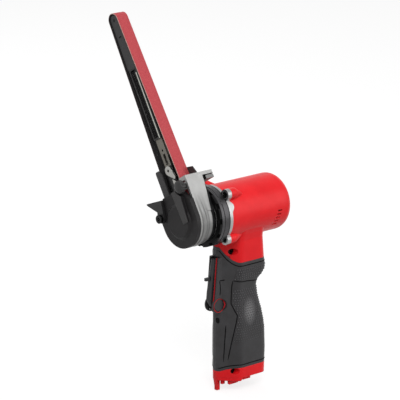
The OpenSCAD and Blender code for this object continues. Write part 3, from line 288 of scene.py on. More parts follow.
def grip_rubber():
    """Overmoulded rubber: a darker dotted zone behind a curved border, and a painted highlight on the palm
    swell.
    """
    p = Paint("grip_rubber", edge_mm=1.6, specular=0.3)
    border = p.tree.nodes.new("ShaderNodeValToRGB")
    low, high, reach = 0.0, 160.0, 60.0
    ramp = border.color_ramp
    while len(ramp.elements) < len(DOT_BORDER):
        ramp.elements.new(0.5)
    for element, (height, x) in zip(ramp.elements, DOT_BORDER):
        element.position = (height - low) / (high - low)
        grey = (x + reach / 2) / reach
        element.color = (grey, grey, grey, 1.0)
    p.feed(border.inputs[0], p.span(p.z, low * MM, high * MM))
    border_x = p.span(border.outputs[0], 0.0, 1.0, -reach / 2 * MM, reach / 2 * MM)
    zone = p.span(p.math("SUBTRACT", p.x, border_x), -0.2 * MM, 0.4 * MM)
    base = p.mix(p.span(p.noise(120, 4.0), 0.3, 0.7), srgb(46, 45, 46), srgb(56, 55, 57))
    base = p.mix(p.math("MULTIPLY", zone, 0.35), base, srgb(34, 33, 34))
    base = p.mix(p.math("MULTIPLY", p.edge, 0.15), base, srgb(84, 83, 85))
    # painted highlight: a paler, glossier patch on the palm swell, where the lamps would catch its curve
    palm_x, palm_z, reach_x, reach_z = -2.0 * MM, 63.0 * MM, 8.5 * MM, 15.0 * MM
    off_x = p.math("DIVIDE", p.math("SUBTRACT", p.x, palm_x), reach_x)
    off_z = p.math("DIVIDE", p.math("SUBTRACT", p.z, palm_z), reach_z)
    off = p.math("ADD", p.math("MULTIPLY", off_x, off_x), p.math("MULTIPLY", off_z, off_z))
    painted_sheen = p.math("POWER", p.span(off, 1.0, 0.0), 1.5)
    base = p.mix(p.math("MULTIPLY", painted_sheen, 0.8), base, srgb(128, 127, 128))
    gloss = p.span(p.noise(500, 3.0), 0.25, 0.75, 0.40, 0.54)
    gloss = p.math("SUBTRACT", gloss, p.math("MULTIPLY", painted_sheen, 0.08))
    return p.finish(base, gloss, p.bump(p.noise(2600, 2.0), 0.02))


def abrasive():
    """Grit side of the belt: sharp mineral grains in a red bond, with paler worn tops."""
    p = Paint("abrasive_grit", edge_mm=0.1)
    grit = p.cells(1 / (0.42 * MM))
    fine = p.noise(5200, 2.0)
    base = p.mix(p.span(grit, 0.15, 0.75), srgb(216, 96, 100), srgb(176, 56, 66))
    base = p.mix(p.span(p.noise(55, 4.0), 0.35, 0.7, 0.0, 0.45), base, srgb(192, 74, 78))
    base = p.mix(p.span(fine, 0.64, 0.72, 0.0, 0.6), base, srgb(218, 136, 130))
    gloss = p.span(fine, 0.3, 0.7, 0.62, 0.85)
    return p.finish(base, gloss, p.bump(grit, 0.16, 0.8))


def belt_edge():
    """Cut edge of the belt's cloth, pale with frayed threads, darker on the far run as painted shade."""
    p = Paint("belt_edge", edge_mm=0.1)
    threads = p.noise(1500, 3.0, p.stretched(4.0, 1.0, 1.0))
    base = p.mix(p.span(threads, 0.3, 0.7), srgb(196, 142, 134), srgb(226, 196, 186))
    # painted shade: the edge turns dark on the far run of the belt
    base = p.mix(p.span(p.on_arm()[0], -2.0 * MM, 2.0 * MM), base, srgb(58, 40, 40))
    return p.finish(base, p.span(threads, 0.3, 0.7, 0.75, 0.9), p.bump(threads, 0.1))


def belt_cloth():
    """Back of the belt: a dark twill weave stiffened with resin, with specks of dust."""
    p = Paint("belt_cloth", edge_mm=0.1)
    step = 0.7 * MM
    along = p.on_arm()[1]
    warp = p.math("SINE", p.math("MULTIPLY", p.x, 2 * math.pi / step))
    weft = p.math("SINE", p.math("MULTIPLY", p.math("ADD", along, p.x), 2 * math.pi / step))
    weave = p.math("MULTIPLY", warp, weft)
    base = p.mix(p.span(weave, -1.0, 1.0), srgb(15, 14, 15), srgb(26, 24, 25))
    speck = p.span(p.cells(1 / (2.4 * MM)), 0.15, 0.09)
    dust = p.math("MULTIPLY", speck, p.span(p.noise(90, 2.0), 0.45, 0.6))
    base = p.mix(p.math("MULTIPLY", dust, 0.7), base, srgb(150, 149, 146))
    return p.finish(base, p.span(weave, -1.0, 1.0, 0.7, 0.9), p.bump(weave, 0.05))


def speckled_black():
    """Gloss black paint with pale overspray flecks and drag marks, as on the arm."""
    p = Paint("arm_black", edge_mm=0.3)
    flecks = p.cells(1 / (2.6 * MM))
    patch = p.span(p.noise(240, 2.0), 0.45, 0.6)
    fleck = p.math("MULTIPLY", p.span(flecks, 0.17, 0.1), patch)
    drag = p.noise(500, 3.0, p.stretched(3.0, 1.0, 0.25))
    base = p.mix(p.span(drag, 0.35, 0.75), srgb(16, 16, 17), srgb(34, 33, 34))
    base = p.mix(p.math("MULTIPLY", fleck, 0.75), base, srgb(150, 149, 146))
    base = p.mix(p.math("MULTIPLY", p.edge, 0.25), base, srgb(70, 69, 68))
    gloss = p.span(drag, 0.3, 0.7, 0.2, 0.36)
    return p.finish(base, gloss, p.bump(p.math("ADD", drag, fleck), 0.02))


def platen_strip():
    """Ground steel where the platen shows beside the arm, graphite where it backs the belt."""
    p = Paint("platen_strip", metallic=0.6)
    lines = p.noise(1500, 3.0, p.stretched(1.0, 1.0, 0.1))
    backing_v, blur = -5.4, 0.4
    backing = p.span(p.on_arm()[0], backing_v * MM, (backing_v - blur) * MM)
    steel = p.mix(p.span(lines, 0.3, 0.7), srgb(176, 178, 170), srgb(206, 208, 199))
    base = p.mix(backing, steel, srgb(30, 29, 30))
    return p.finish(base, p.span(lines, 0.3, 0.7, 0.36, 0.5), p.bump(lines, 0.02))


# Painted shade and dark reflections in stripes round the lower half of the head frame: x and half width in
# mm, and depth of tone
FRAME_SHADE_STRIPES = [(-64.4, 1.5, 0.85), (-57.2, 3.4, 0.6), (-61.0, 9.0, 0.5), (-51.5, 4.0, 0.85)]


def cast_frame():
    """Die cast head frame: sandy grain, bright edges, painted shade in stripes round its lower half, and a
    black band of painted shade against the collar.
    """
    p = Paint("cast_frame", metallic=0.7, edge_mm=0.25)
    grain = p.noise(1600, 3.0)
    base = p.mix(p.span(p.noise(70, 3.0), 0.3, 0.7), (0.31, 0.31, 0.305), (0.37, 0.37, 0.365))
    base = p.mix(p.math("MULTIPLY", p.edge, 0.3), base, (0.48, 0.48, 0.47))
    along = p.on_arm()[1]
    # painted shade: near black on the frame's rear for the dark gap against the collar, kept off its top
    band_x, band_x_above, band_slope, band_top, band_full = -52.7, -48.0, 30.0, 33.4, 33.0
    border = p.span(along, 0.0, band_slope * MM, band_x * MM, band_x_above * MM)
    collar_gap_shade = p.span(p.math("SUBTRACT", p.x, border), 0.0, 0.3 * MM)
    collar_gap_shade = p.math("MULTIPLY", collar_gap_shade, p.span(along, band_top * MM, band_full * MM))
    # painted shade: darker stripes round the lower half, where the curved cast wall would be shaded
    shade_top, shade_full = 20.0, -4.0
    lower = p.span(along, shade_top * MM, shade_full * MM)
    for centre, half, depth in FRAME_SHADE_STRIPES:
        off = p.math("ABSOLUTE", p.math("SUBTRACT", p.x, centre * MM))
        stripe_shade = p.span(off, half * MM, 0.0, 0.0, depth)
        base = p.mix(p.math("MULTIPLY", lower, stripe_shade), base, (0.05, 0.05, 0.049))
    base = p.mix(collar_gap_shade, base, srgb(16, 16, 17))
    gloss = p.span(grain, 0.25, 0.75, 0.39, 0.54)
    return p.finish(base, gloss, p.bump(grain, 0.03))


def cover_plastic():
    """Charcoal pulley cover, its raised strip painted paler as painted light on its face."""
    p = Paint("cover_plastic", edge_mm=0.6, specular=0.2)
    base = p.mix(p.span(p.noise(90, 4.0), 0.3, 0.7), srgb(25, 24, 25), srgb(32, 30, 31))
    # painted light: the raised strip's face is paler, as if lit
    strip_foot, blur = -74.9, 0.4
    strip_light = p.span(p.x, strip_foot * MM, (strip_foot - blur) * MM)
    base = p.mix(p.math("MULTIPLY", strip_light, 0.85), base, srgb(72, 71, 71))
    base = p.mix(p.math("MULTIPLY", p.edge, 0.25), base, srgb(76, 74, 74))
    gloss = p.span(p.noise(260, 3.0), 0.25, 0.75, 0.42, 0.55)
    return p.finish(base, gloss, p.bump(p.noise(2200, 2.0), 0.03))


def collar_steel():
    """Index collar: satin turned steel, dull black in front where its notches are and at its rear end."""
    p = Paint("black_collar", metallic=0.6, edge_mm=0.3)
    turned = p.noise(2500, 2.0, p.stretched(1.0, 0.05, 0.05))
    satin = p.mix(p.span(p.noise(80, 3.0), 0.3, 0.7), srgb(58, 57, 59), srgb(70, 69, 71))
    satin = p.mix(p.math("MULTIPLY", p.edge, 0.5), satin, srgb(120, 119, 121))
    satin_front, satin_rear, blur = -44.8, -36.4, 0.2
    dull_front = p.span(p.x, satin_front * MM, (satin_front - blur) * MM)
    dull_rear = p.span(p.x, satin_rear * MM, (satin_rear + blur) * MM)
    dull = p.math("MAXIMUM", dull_front, dull_rear)
    base = p.mix(dull, satin, srgb(9, 9, 10))
    gloss = p.math("ADD", p.span(turned, 0.25, 0.75, 0.24, 0.34), p.math("MULTIPLY", dull, 0.3))
    return p.finish(base, gloss, p.bump(turned, 0.01))


def ringed_metal(name, color, rough, ring_mm):
    """Metal turned round the motor axis: fine rings about it and a cloudy film of oil."""
    p = Paint(name, metallic=1.0)
    from_axis = p.math("SUBTRACT", p.z, AXIS_H * MM)
    squares = p.math("ADD", p.math("MULTIPLY", p.y, p.y), p.math("MULTIPLY", from_axis, from_axis))
    radius = p.math("SQRT", squares)
    rings = p.noise(1 / (ring_mm * MM), 2.0, p.join(radius, p.math("MULTIPLY", p.x, 0.6), 0.0))
    cloud = p.noise(80, 3.0)
    base = p.mix(p.span(cloud, 0.3, 0.7), tuple(c * 0.85 for c in color), color)
    bright = tuple(min(1.0, c * 1.4 + 0.08) for c in color)
    base = p.mix(p.math("MULTIPLY", p.edge, 0.6), base, bright)
    gloss = p.span(rings, 0.25, 0.75, rough - 0.08, rough + 0.08)
    return p.finish(base, gloss, p.bump(rings, 0.02))


def laminated(name, color):
    """Stacked sheet steel, seen as thin plates along the motor axis."""
    p = Paint(name, metallic=0.9)
    plates = p.math("SINE", p.math("MULTIPLY", p.x, 2 * math.pi / (0.5 * MM)))
    base = p.mix(p.span(plates, -1.0, 1.0), tuple(c * 0.6 for c in color), color)
    base = p.mix(p.span(p.noise(300, 3.0), 0.5, 0.75, 0.0, 0.4), base, srgb(90, 72, 60))
    return p.finish(base, p.span(plates, -1.0, 1.0, 0.55, 0.35), p.bump(plates, 0.05))


def wound_copper():
    """Enamelled winding wire, lying along the motor axis."""
    p = Paint("copper_wire", metallic=0.9)
    wires = p.math("SINE", p.math("MULTIPLY", p.math("ADD", p.y, p.z), 2 * math.pi / (0.7 * MM)))
    base = p.mix(p.span(wires, -1.0, 1.0), srgb(112, 52, 24), srgb(214, 122, 66))
    return p.finish(base, p.span(p.noise(400, 2.0), 0.3, 0.7, 0.25, 0.4), p.bump(wires, 0.12))


def circuit_board():
    """Green solder mask over copper tracks, with a few pads."""
    p = Paint("circuit_board")
    tracks = p.cells(260, p.join(p.x, p.y, 0.0))
    pads = p.cells(380, p.join(p.y, p.x, 0.0))
    base = p.mix(p.span(tracks, 0.55, 0.6), srgb(14, 66, 36), srgb(24, 92, 52))
    base = p.mix(p.span(pads, 0.16, 0.12), base, srgb(196, 190, 170))
    return p.finish(base, p.span(tracks, 0.5, 0.65, 0.3, 0.42), p.bump(tracks, 0.03))


# What each CAD node is made of
FINISHES = {
    red_shell(): ["housing_left", "housing_right"],
    grip_rubber(): ["grip_left", "grip_right"],
    cast_frame(): ["head_frame"],
    metal("cast_latch", (0.15, 0.15, 0.148), 0.4, depth_mm=0.03, grain_per_m=1600, wear=0.9): ["head_latch"],
    ringed_metal("machined_case", (0.36, 0.36, 0.36), 0.38, 0.35): ["gearcase", "motor_plate"],
    collar_steel(): ["index_collar"],
    cover_plastic(): ["pulley_cover"],
    moulded("lever_plastic", srgb(32, 31, 32), 0.45, 0.4, 0.02, 0.3): ["tension_lever"],
    moulded("knob_plastic", srgb(50, 49, 49), 0.5, 0.4, 0.02, 0.2): ["tracking_knob"],
    metal("black_oxide", srgb(18, 18, 19), 0.22, wear=0.8, metallic=0.6): [
        "cover_screw", "roller_pin", "housing_screws", "gearcase_screws"],
    speckled_black(): ["arm_channel", "arm_base"],
    moulded("tip_black", srgb(50, 49, 50), 0.4, 0.35, 0.02, 0.6): ["tip_carrier"],
    metal("guard_plate", srgb(58, 57, 58), 0.5, (1.0, 0.3, 1.0), wear=0.5, metallic=0.1): ["belt_guard"],
    metal("slide_steel", srgb(116, 113, 106), 0.46, (1.0, 1.0, 0.15), 1400): ["slide_plate"],
    metal("bright_plate", srgb(168, 167, 163), 0.34, (1.0, 0.4, 0.4), 1100): ["pivot_ear"],
    platen_strip(): ["platen"],
    moulded("roller_rubber", srgb(44, 43, 45), 0.55, 0.5, 0.03): ["tip_roller"],
    moulded("trigger_plastic", srgb(46, 45, 47), 0.45, 0.4, 0.02, 0.5): ["trigger", "direction_button"],
    moulded("lock_plastic", srgb(26, 25, 26), 0.4, 0.4, 0.02): ["trigger_lock"],
    moulded("gauge_lens", srgb(4, 4, 5), 0.3, 1.2, 0.005, 0.1, 0.2, 0.05): ["charge_gauge"],
    moulded("black_nylon", srgb(30, 30, 31), 0.5, 0.5, 0.02): [
        "switch_body", "battery_contacts", "cooling_fan"],
    circuit_board(): ["control_board"],
    wound_copper(): ["stator_windings"],
    laminated("stator_steel", srgb(128, 130, 138)): ["stator_core"],
    laminated("rotor_steel", srgb(140, 140, 144)): ["rotor_core"],
    ringed_metal("bearing_steel", srgb(196, 196, 200), 0.18, 0.3): [
        "rear_bearing", "front_bearing", "spindle_bearing", "head_clip"],
    metal("sintered_gear", srgb(150, 140, 122), 0.4, depth_mm=0.03, grain_per_m=2400): [
        "planet_gear_1", "planet_gear_2", "planet_gear_3", "ring_gear"],
    ringed_metal("turned_steel", srgb(176, 176, 180), 0.25, 0.25): [
        "motor_shaft", "planet_carrier", "pulley_screw"],
    ringed_metal("pulley_alloy", srgb(92, 92, 95), 0.35, 0.5): ["drive_pulley"],
}
for material, names in FINISHES.items():
    for name in names:
        slots = NODES[name].material_slots
        for slot in slots:
            slot.material = material
        if not slots:
            NODES[name].data.materials.append(material)
SPRING_STEEL = metal("spring_steel", srgb(184, 184, 188), 0.22, (0.3, 1.0, 1.0), 1500, wear=0.6)
# painted shade: near-black colour for the shade inside the grip's grooves, and the dark seams at its edges
GROOVE_SHADE = moulded("groove_shade", srgb(5, 5, 6), 0.7, 0.5, 0.02, 0.1, 0.2, 0.05)
DOT_RUBBER = moulded("dot_rubber", srgb(64, 63, 65), 0.36, 0.4, 0.01, 0.1, 0.1, 0.45)


# Pieces
def new_piece(name, mesh_bm, materials, body, smooth=True):
    """An object from a finished mesh, which rides on a body and has a finish slot."""
    mesh = bpy.data.meshes.new(name)
    bmesh.ops.recalc_face_normals(mesh_bm, faces=mesh_bm.faces)
    mesh_bm.to_mesh(mesh)
    mesh_bm.free()
    for material in materials:
        mesh.materials.append(material)
    for face in mesh.polygons:
        face.use_smooth = smooth
    piece = bpy.data.objects.new(name, mesh)
    bpy.context.scene.collection.objects.link(piece)
    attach(piece, body)
    return piece


def finish_of(node):
    """The material that a CAD node has been given."""
    return NODES[node].material_slots[0].material


def round_angles(count):
    """Angles once round, in equal steps."""
    return [2 * math.pi * k / count for k in range(count)]


def bridge(bm, rings, closed=False):
    """Faces from each ring of points to the next, capped at both ends unless the rings close."""
    count = len(rings[0])
    pairs = list(zip(rings, rings[1:]))
    if closed:
        pairs.append((rings[-1], rings[0]))
    faces = []
    for first, second in pairs:
        for k in range(count):
            after = (k + 1) % count
            faces.append(bm.faces.new((first[k], first[after], second[after], second[k])))
    if not closed:
        bm.faces.new(rings[0][::-1])
        bm.faces.new(rings[-1])
    return faces


def sweep(bm, path, radius, sides):
    """A round bar along an open path of points, its ends closed by shrinking domes."""
    end_shares = (0.35, 0.8)
    last = len(path) - 1
    side = None
    rings = []
    for i, point in enumerate(path):
        along = (path[min(i + 1, last)] - path[max(i - 1, 0)]).normalized()
        if side is None:
            side = along.orthogonal().normalized()
        side = (side - along * side.dot(along)).normalized()
        other = along.cross(side)
        end = min(i, last - i)
        size = radius * end_shares[end] if end < len(end_shares) else radius
        rings.append([bm.verts.new(point + size * (side * math.cos(a) + other * math.sin(a)))
                      for a in round_angles(sides)])
    bridge(bm, rings)


# Belt and springs
def belt_loop(offset):
    """Points (v, w) round the belt, at a distance outside its inner face."""
    arc_steps, run_steps = 48, 90
    r1, r2 = PULLEY_R + BELT_GAP + offset, ROLLER_R + BELT_GAP + offset
    lean = math.asin((r1 - r2) / ARM_LEN)
    points = []

    def at(centre_w, r, a):
        return (r * math.cos(a), centre_w + r * math.sin(a))

    def arc(centre_w, r, start, end):
        for i in range(arc_steps + 1):
            points.append(at(centre_w, r, start + (end - start) * i / arc_steps))

    def run(first, last):
        for i in range(1, run_steps):
            t = i / run_steps
            points.append((first[0] + (last[0] - first[0]) * t, first[1] + (last[1] - first[1]) * t))

    arc(0.0, r1, math.pi - lean, 2 * math.pi + lean)
    run(at(0.0, r1, lean), at(ARM_LEN, r2, lean))
    arc(ARM_LEN, r2, lean, math.pi - lean)
    run(at(ARM_LEN, r2, math.pi - lean), at(0.0, r1, math.pi - lean))
    return points


def make_belt():
    """The abrasive belt as a cloth loop: grit outside, weave inside, pale cut edges."""
    chamfer = 0.15
    half = BELT_W / 2
    # each ring corner: its offset outside the inner face, its distance from the belt's middle
    section = [(0.0, -half + chamfer), (0.0, half - chamfer),
               (chamfer, half), (BELT_T - chamfer, half),
               (BELT_T, half - chamfer), (BELT_T, -half + chamfer),
               (BELT_T - chamfer, -half), (chamfer, -half)]
    inner_side, outer_side = 0, 4
    grit, weave, cut_edge = 0, 1, 2
    loops = {offset: belt_loop(offset) for offset in {corner[0] for corner in section}}
    bm = bmesh.new()
    rings = []
    for i in range(len(loops[0.0])):
        rings.append([bm.verts.new(head(-BELT_X + x, *loops[offset][i])) for offset, x in section])
    for i, face in enumerate(bridge(bm, rings, closed=True)):
        face.material_index = {inner_side: weave, outer_side: grit}.get(i % len(section), cut_edge)
    belt = new_piece("belt_loop", bm, [abrasive(), belt_cloth(), belt_edge()], "head")
    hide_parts("abrasive_belt")


def make_spring(name, node, body, start, axis, length, radius, wire, turns):
    """A compression spring of round wire, with closed end turns."""
    per_turn, sides, dead = 28, 12, 0.85
    axis = axis.normalized()
    side = axis.orthogonal().normalized()
    other = axis.cross(side)
    pitch = (length - 2 * wire - 4 * wire * dead) / (turns - 2 * dead)
    path = []
    for i in range(int(turns * per_turn) + 1):
        t = i / per_turn
        closed_turns = min(t, dead) + max(t - (turns - dead), 0.0)
        live_turns = min(max(t - dead, 0.0), turns - 2 * dead)
        rise = wire + 2 * wire * closed_turns + live_turns * pitch
        a = 2 * math.pi * t
        path.append((start + axis * rise + (side * math.cos(a) + other * math.sin(a)) * radius) * MM)
    bm = bmesh.new()
    sweep(bm, path, wire * MM, sides)
    spring = new_piece(name, bm, [SPRING_STEEL], body)
    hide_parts(node)
    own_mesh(spring)


def make_springs():
    """The belt's tension spring, along the arm, and the trigger's spring, along the handle's depth."""
    arm_axis = Vector((0.0, math.sin(TILT), math.cos(TILT)))
    tension_len, arm_travel, tension_x, tension_w = 28.3, 6.0, -56.8, 30.05
    tension_start = Vector((tension_x, 0.0, AXIS_H)) + arm_axis * tension_w
    make_spring("tension_coil", "tension_spring", "head", tension_start, arm_axis,
                length=tension_len, radius=2.3, wire=0.45, turns=9.0)
    trigger_x, trigger_gap, trigger_h = -18.0, 0.05, 84.0
    make_spring("trigger_coil", "trigger_spring", "handle",
                Vector((trigger_x - trigger_gap, 0.0, trigger_h)), Vector((-1, 0, 0)),
                length=8.46, radius=2.4, wire=0.35, turns=5.5)


make_belt()
make_springs()


# Grooves, drawn as near-black lines of painted shade, and dots in the rubber grip
def edge_line(height, rise):
    """A groove that keeps to one edge of the rubber, from its nose round to its back."""
    nose, length, steps, level_x, slope_len = -29.0, 48.0, 44, -14.0, 14.0
    line = []
    for i in range(steps + 1):
        x = nose + length * i / steps
        front_share = min(1.0, max(0.0, (level_x - x) / slope_len)) ** 2
        line.append((x, height + rise * front_share))
    return line


def finer(points, parts=6):
    """The same line with its corners kept and points added between them."""
    out = []
    for (x0, z0), (x1, z1) in zip(points, points[1:]):
        out += [(x0 + (x1 - x0) * i / parts, z0 + (z1 - z0) * i / parts) for i in range(parts)]
    return out + [points[-1]]


# Lines of the grooves on each side of the grip: x and height, in mm
GRIP_LINES = [
    edge_line(108.6, 14.5),
    edge_line(13.0, -3.9),
    finer([(-18.8, 94.4), (-11.0, 92.8), (-4.8, 92.4), (1.7, 91.6), (10.3, 90.4), (11.6, 90.2)]),
    finer([(-29.0, 94.8), (-27.0, 94.8), (-24.2, 95.2)]),
    finer([(-29.0, 94.8), (-28.4, 90.4), (-28.1, 85.6), (-28.6, 80.6)]),
    finer([(-18.8, 94.4), (-19.5, 83.6), (-19.9, 72.0), (-15.9, 60.8), (-16.8, 54.8), (-18.6, 44.4),
           (-20.5, 32.4), (-22.5, 17.6)]),
    finer([(-23.7, 51.6), (-24.4, 37.2), (-25.3, 15.6)]),
]
GRIP_SIDES = (("grip_left", -1.0), ("grip_right", 1.0))


# Reach of a ray that looks for a skin, in mm
RAY = 60.0


def surface_of(*names):
    """The joined surface of some CAD nodes, for ray casts."""
    points, faces = [], []
    for name in names:
        mesh = NODES[name].data
        start = len(points)
        points += [v.co.copy() for v in mesh.vertices]
        faces += [[start + i for i in face.vertices] for face in mesh.polygons]
    return BVHTree.FromPolygons(points, faces)


def on_side(skin, x, z, side):
    """Where a line across the tool at (x, z) mm meets a skin from one side, and the normal there."""
    place, normal, *_ = skin.ray_cast(Vector((x, side * RAY, z)) * MM, Vector((0.0, -side, 0.0)), RAY * MM)
    return place, normal


def make_grip_lines():
    """Narrow near-black bars on both sides of the grip, laid on the rubber's own surface: painted shade of
    its grooves, and dark seams along its top and bottom edges.
    """
    radius, sides, sunk, fewest = 0.5, 8, 0.1, 4
    bm = bmesh.new()
    for node, side in GRIP_SIDES:
        skin = surface_of(node)
        for line in GRIP_LINES:
            path = []
            for x, z in line:
                place, _ = on_side(skin, x, z, side)
                if place is not None:
                    path.append(place - Vector((0.0, side * sunk, 0.0)) * MM)
            if len(path) >= fewest:
                sweep(bm, path, radius * MM, sides)
    new_piece("grip_lines", bm, [GROOVE_SHADE], "handle")


def border_at(height):
    """Front border of the dotted zone at a height, between the points of its line."""
    for (low, x0), (high, x1) in zip(DOT_BORDER, DOT_BORDER[1:]):
        if low <= height <= high:
            return x0 + (x1 - x0) * (height - low) / (high - low)
    return None


def add_dome(bm, place, normal, radius, height):
    """A low round bump that stands on a surface, its rim sunk a little below it."""
    sides, ring_shares = 6, ((1.0, -0.3), (0.72, 0.65))
    side = normal.orthogonal().normalized()
    other = normal.cross(side)
    rings = []
    for out_share, rise_share in ring_shares:
        rings.append([bm.verts.new(place + normal * height * rise_share
                                   + (side * math.cos(a) + other * math.sin(a)) * radius * out_share)
                      for a in round_angles(sides)])
    top = bm.verts.new(place + normal * height)
    for k in range(sides):
        after = (k + 1) % sides
        bm.faces.new((rings[0][k], rings[0][after], rings[1][after], rings[1][k]))
        bm.faces.new((rings[1][k], rings[1][after], top))
    bm.faces.new(rings[0][::-1])


def make_grip_dots():
    """Raised dots in rows on the rear of the grip, smaller towards its foot."""
    pitch, row_step, first, last, rear = 2.5, 2.3, 36.0, 106.0, 19.0
    fold_low, fold_high = 86.5, 95.5
    radius, rise, from_border = 0.75, 0.55, 1.4
    least_share, full_height = 0.45, 56.0
    steepest, closest_share = 0.3, 0.35
    bm = bmesh.new()
    for node, side in GRIP_SIDES:
        skin = surface_of(node)
        for row in range(int((last - first) / row_step) + 1):
            height = first + row * row_step
            if fold_low < height < fold_high:
                continue
            grown_share = (height - first) / (full_height - first)
            size = min(1.0, least_share + (1.0 - least_share) * grown_share)
            x = border_at(height) + from_border + pitch / 2 * (row % 2)
            while x < rear:
                place, normal = on_side(skin, x, height, side)
                if place is None or abs(normal.y) < steepest:
                    break
                add_dome(bm, place, normal, radius * size * MM, rise * size * MM)
                x += pitch * max(closest_share, abs(normal.y))
    new_piece("grip_dots", bm, [DOT_RUBBER], "handle")


make_grip_lines()
make_grip_dots()


# Plates of the arm, rib of the head frame and ears of the flange
def make_slide_rail():
    """The arm's shank behind its slide plate: a folded channel, open to the rear, with a tapered foot."""
    front, rear, half, wall = -60.1, -53.3, 4.3, 1.3
    section = [(rear, -half), (front + wall, -half), (front, -half + wall),
               (front, half - wall), (front + wall, half), (rear, half),
               (rear, half - wall), (front + wall, half - wall),
               (front + wall, wall - half), (rear, wall - half)]
    # along the arm, and the share of the section's width there
    stations = ((61.0, 0.8), (62.4, 1.0), (74.0, 1.0), (86.2, 1.0))
    bm = bmesh.new()
    bridge(bm, [[bm.verts.new(head(x, v * share, w)) for x, v in section] for w, share in stations])
    new_piece("slide_rail", bm, [finish_of("arm_channel")], "arm", False)


def add_plate(bm, outline, front, rear):
    """A flat plate across the motor axis: an outline (v, w) between two x places, its edges chamfered."""
    chamfer = 0.2
    mid_v = sum(v for v, _ in outline) / len(outline)
    mid_w = sum(w for _, w in outline) / len(outline)
    rings = []
    for x, inset in ((front, chamfer), (front + chamfer, 0.0), (rear - chamfer, 0.0), (rear, chamfer)):
        ring = []
        for v, w in outline:
            inward = Vector((mid_v - v, mid_w - w)).normalized() * inset
            ring.append(bm.verts.new(head(x, v + inward.x, w + inward.y)))
        rings.append(ring)
    bridge(bm, rings)


def make_arm_plates():
    """Two leaves beside the tension spring, and the bright strip below the pivot ear, on the arm's base."""
    leaf = [(4.6, 51.9), (5.5, 51.9), (5.5, 61.2), (5.2, 62.0), (4.9, 62.0), (4.6, 61.2)]
    leaf_front, leaf_rear = -60.4, -53.6
    strip = [(-5.6, 30.6), (-2.2, 30.6), (-1.7, 31.2), (-1.9, 38.9), (-2.6, 39.6), (-4.6, 37.6), (-5.8, 36.4)]
    strip_front, strip_rear = -64.8, -63.72
    bm = bmesh.new()
    for side in BOTH_SIDES:
        add_plate(bm, [(v * side, w) for v, w in leaf], leaf_front, leaf_rear)
    new_piece("spring_leaves", bm, [finish_of("arm_base")], "head", False)
    bm = bmesh.new()
    add_plate(bm, strip, strip_front, strip_rear)
    new_piece("guide_strip", bm, [finish_of("pivot_ear")], "head", False)


def make_frame_rib():
    """The cast rim beside the cover and one soft rib, round the lower half of the head frame."""
    # lengths in mm, and the turns of the arc in degrees
    front, rear, sunk, base_in, columns = -67.3, -56.6, 0.5, 0.1, 42
    rim_end, rim_slope, rim_t, rib_x, rib_half, rib_t = -65.3, 0.5, 0.45, -61.4, 2.6, 0.8
    rise, steps, arc_start, arc_end, fade_from = 22.0, 24, 180.0, 330.0, 300.0
    xs = [front + (rear - front) * i / columns for i in range(columns + 1)]
    # down the frame's side and round its lower half: place, outward direction and share of the full height
    way = []
    for i in range(steps):
        share = i / steps
        smooth_share = share * share * (3 - 2 * share)
        way.append((Vector((-FRAME_R, rise * (1 - share))), Vector((-1.0, 0.0)), smooth_share))
    for i in range(2 * steps + 1):
        turn = arc_start + (arc_end - arc_start) * i / (2 * steps)
        outward = Vector((math.cos(math.radians(turn)), math.sin(math.radians(turn))))
        way.append((outward * FRAME_R, outward, min(1.0, (arc_end - turn) / (arc_end - fade_from))))
    bm = bmesh.new()
    rings = []
    for place, outward, share in way:
        ring = []
        for x in xs:
            rim = rim_t * max(0.0, min(1.0, (x - front) / rim_slope, (rim_end - x) / rim_slope))
            off = min(1.0, abs(x - rib_x) / rib_half)
            rib = rib_t * (0.5 + 0.5 * math.cos(math.pi * off))
            at = place + outward * (share * max(rim, rib) - base_in)
            ring.append(bm.verts.new(head(x, at.x, at.y)))
        under = place - outward * sunk
        ring += [bm.verts.new(head(x, under.x, under.y)) for x in (rear, front)]
        rings.append(ring)
    bridge(bm, rings)
    new_piece("frame_rib", bm, [finish_of("head_frame")], "head")


def make_flange_ears():
    """A low rounded ear of the gearcase flange on each side, which laps over the front of the barrel."""
    # lengths in mm, and the ear's middle and half width in degrees from the top
    front, seam, overlap, reach, inner, outer = -31.4, -31.0, 0.1, 3.2, 26.5, 27.06
    middle, half, steps, round_off = 63.0, 15.0, 24, 0.18
    bm = bmesh.new()
    for side in BOTH_SIDES:
        rings = []
        for i in range(steps + 1):
            off = 2.0 * i / steps - 1.0
            turn = math.radians(middle + half * off)
            away = Vector((0.0, side * math.sin(turn), math.cos(turn)))
            rear = seam + overlap + reach * (0.5 + 0.5 * math.cos(math.pi * off))
            section = [(front, inner), (front, outer), (rear - round_off, outer), (rear, outer - round_off),
                       (rear, inner)]
            rings.append([bm.verts.new((Vector((x, 0.0, AXIS_H)) + away * r) * MM) for x, r in section])
        bridge(bm, rings)
    new_piece("flange_ears", bm, [finish_of("gearcase")], "handle", False)


make_slide_rail()
make_arm_plates()
make_frame_rib()
make_flange_ears()


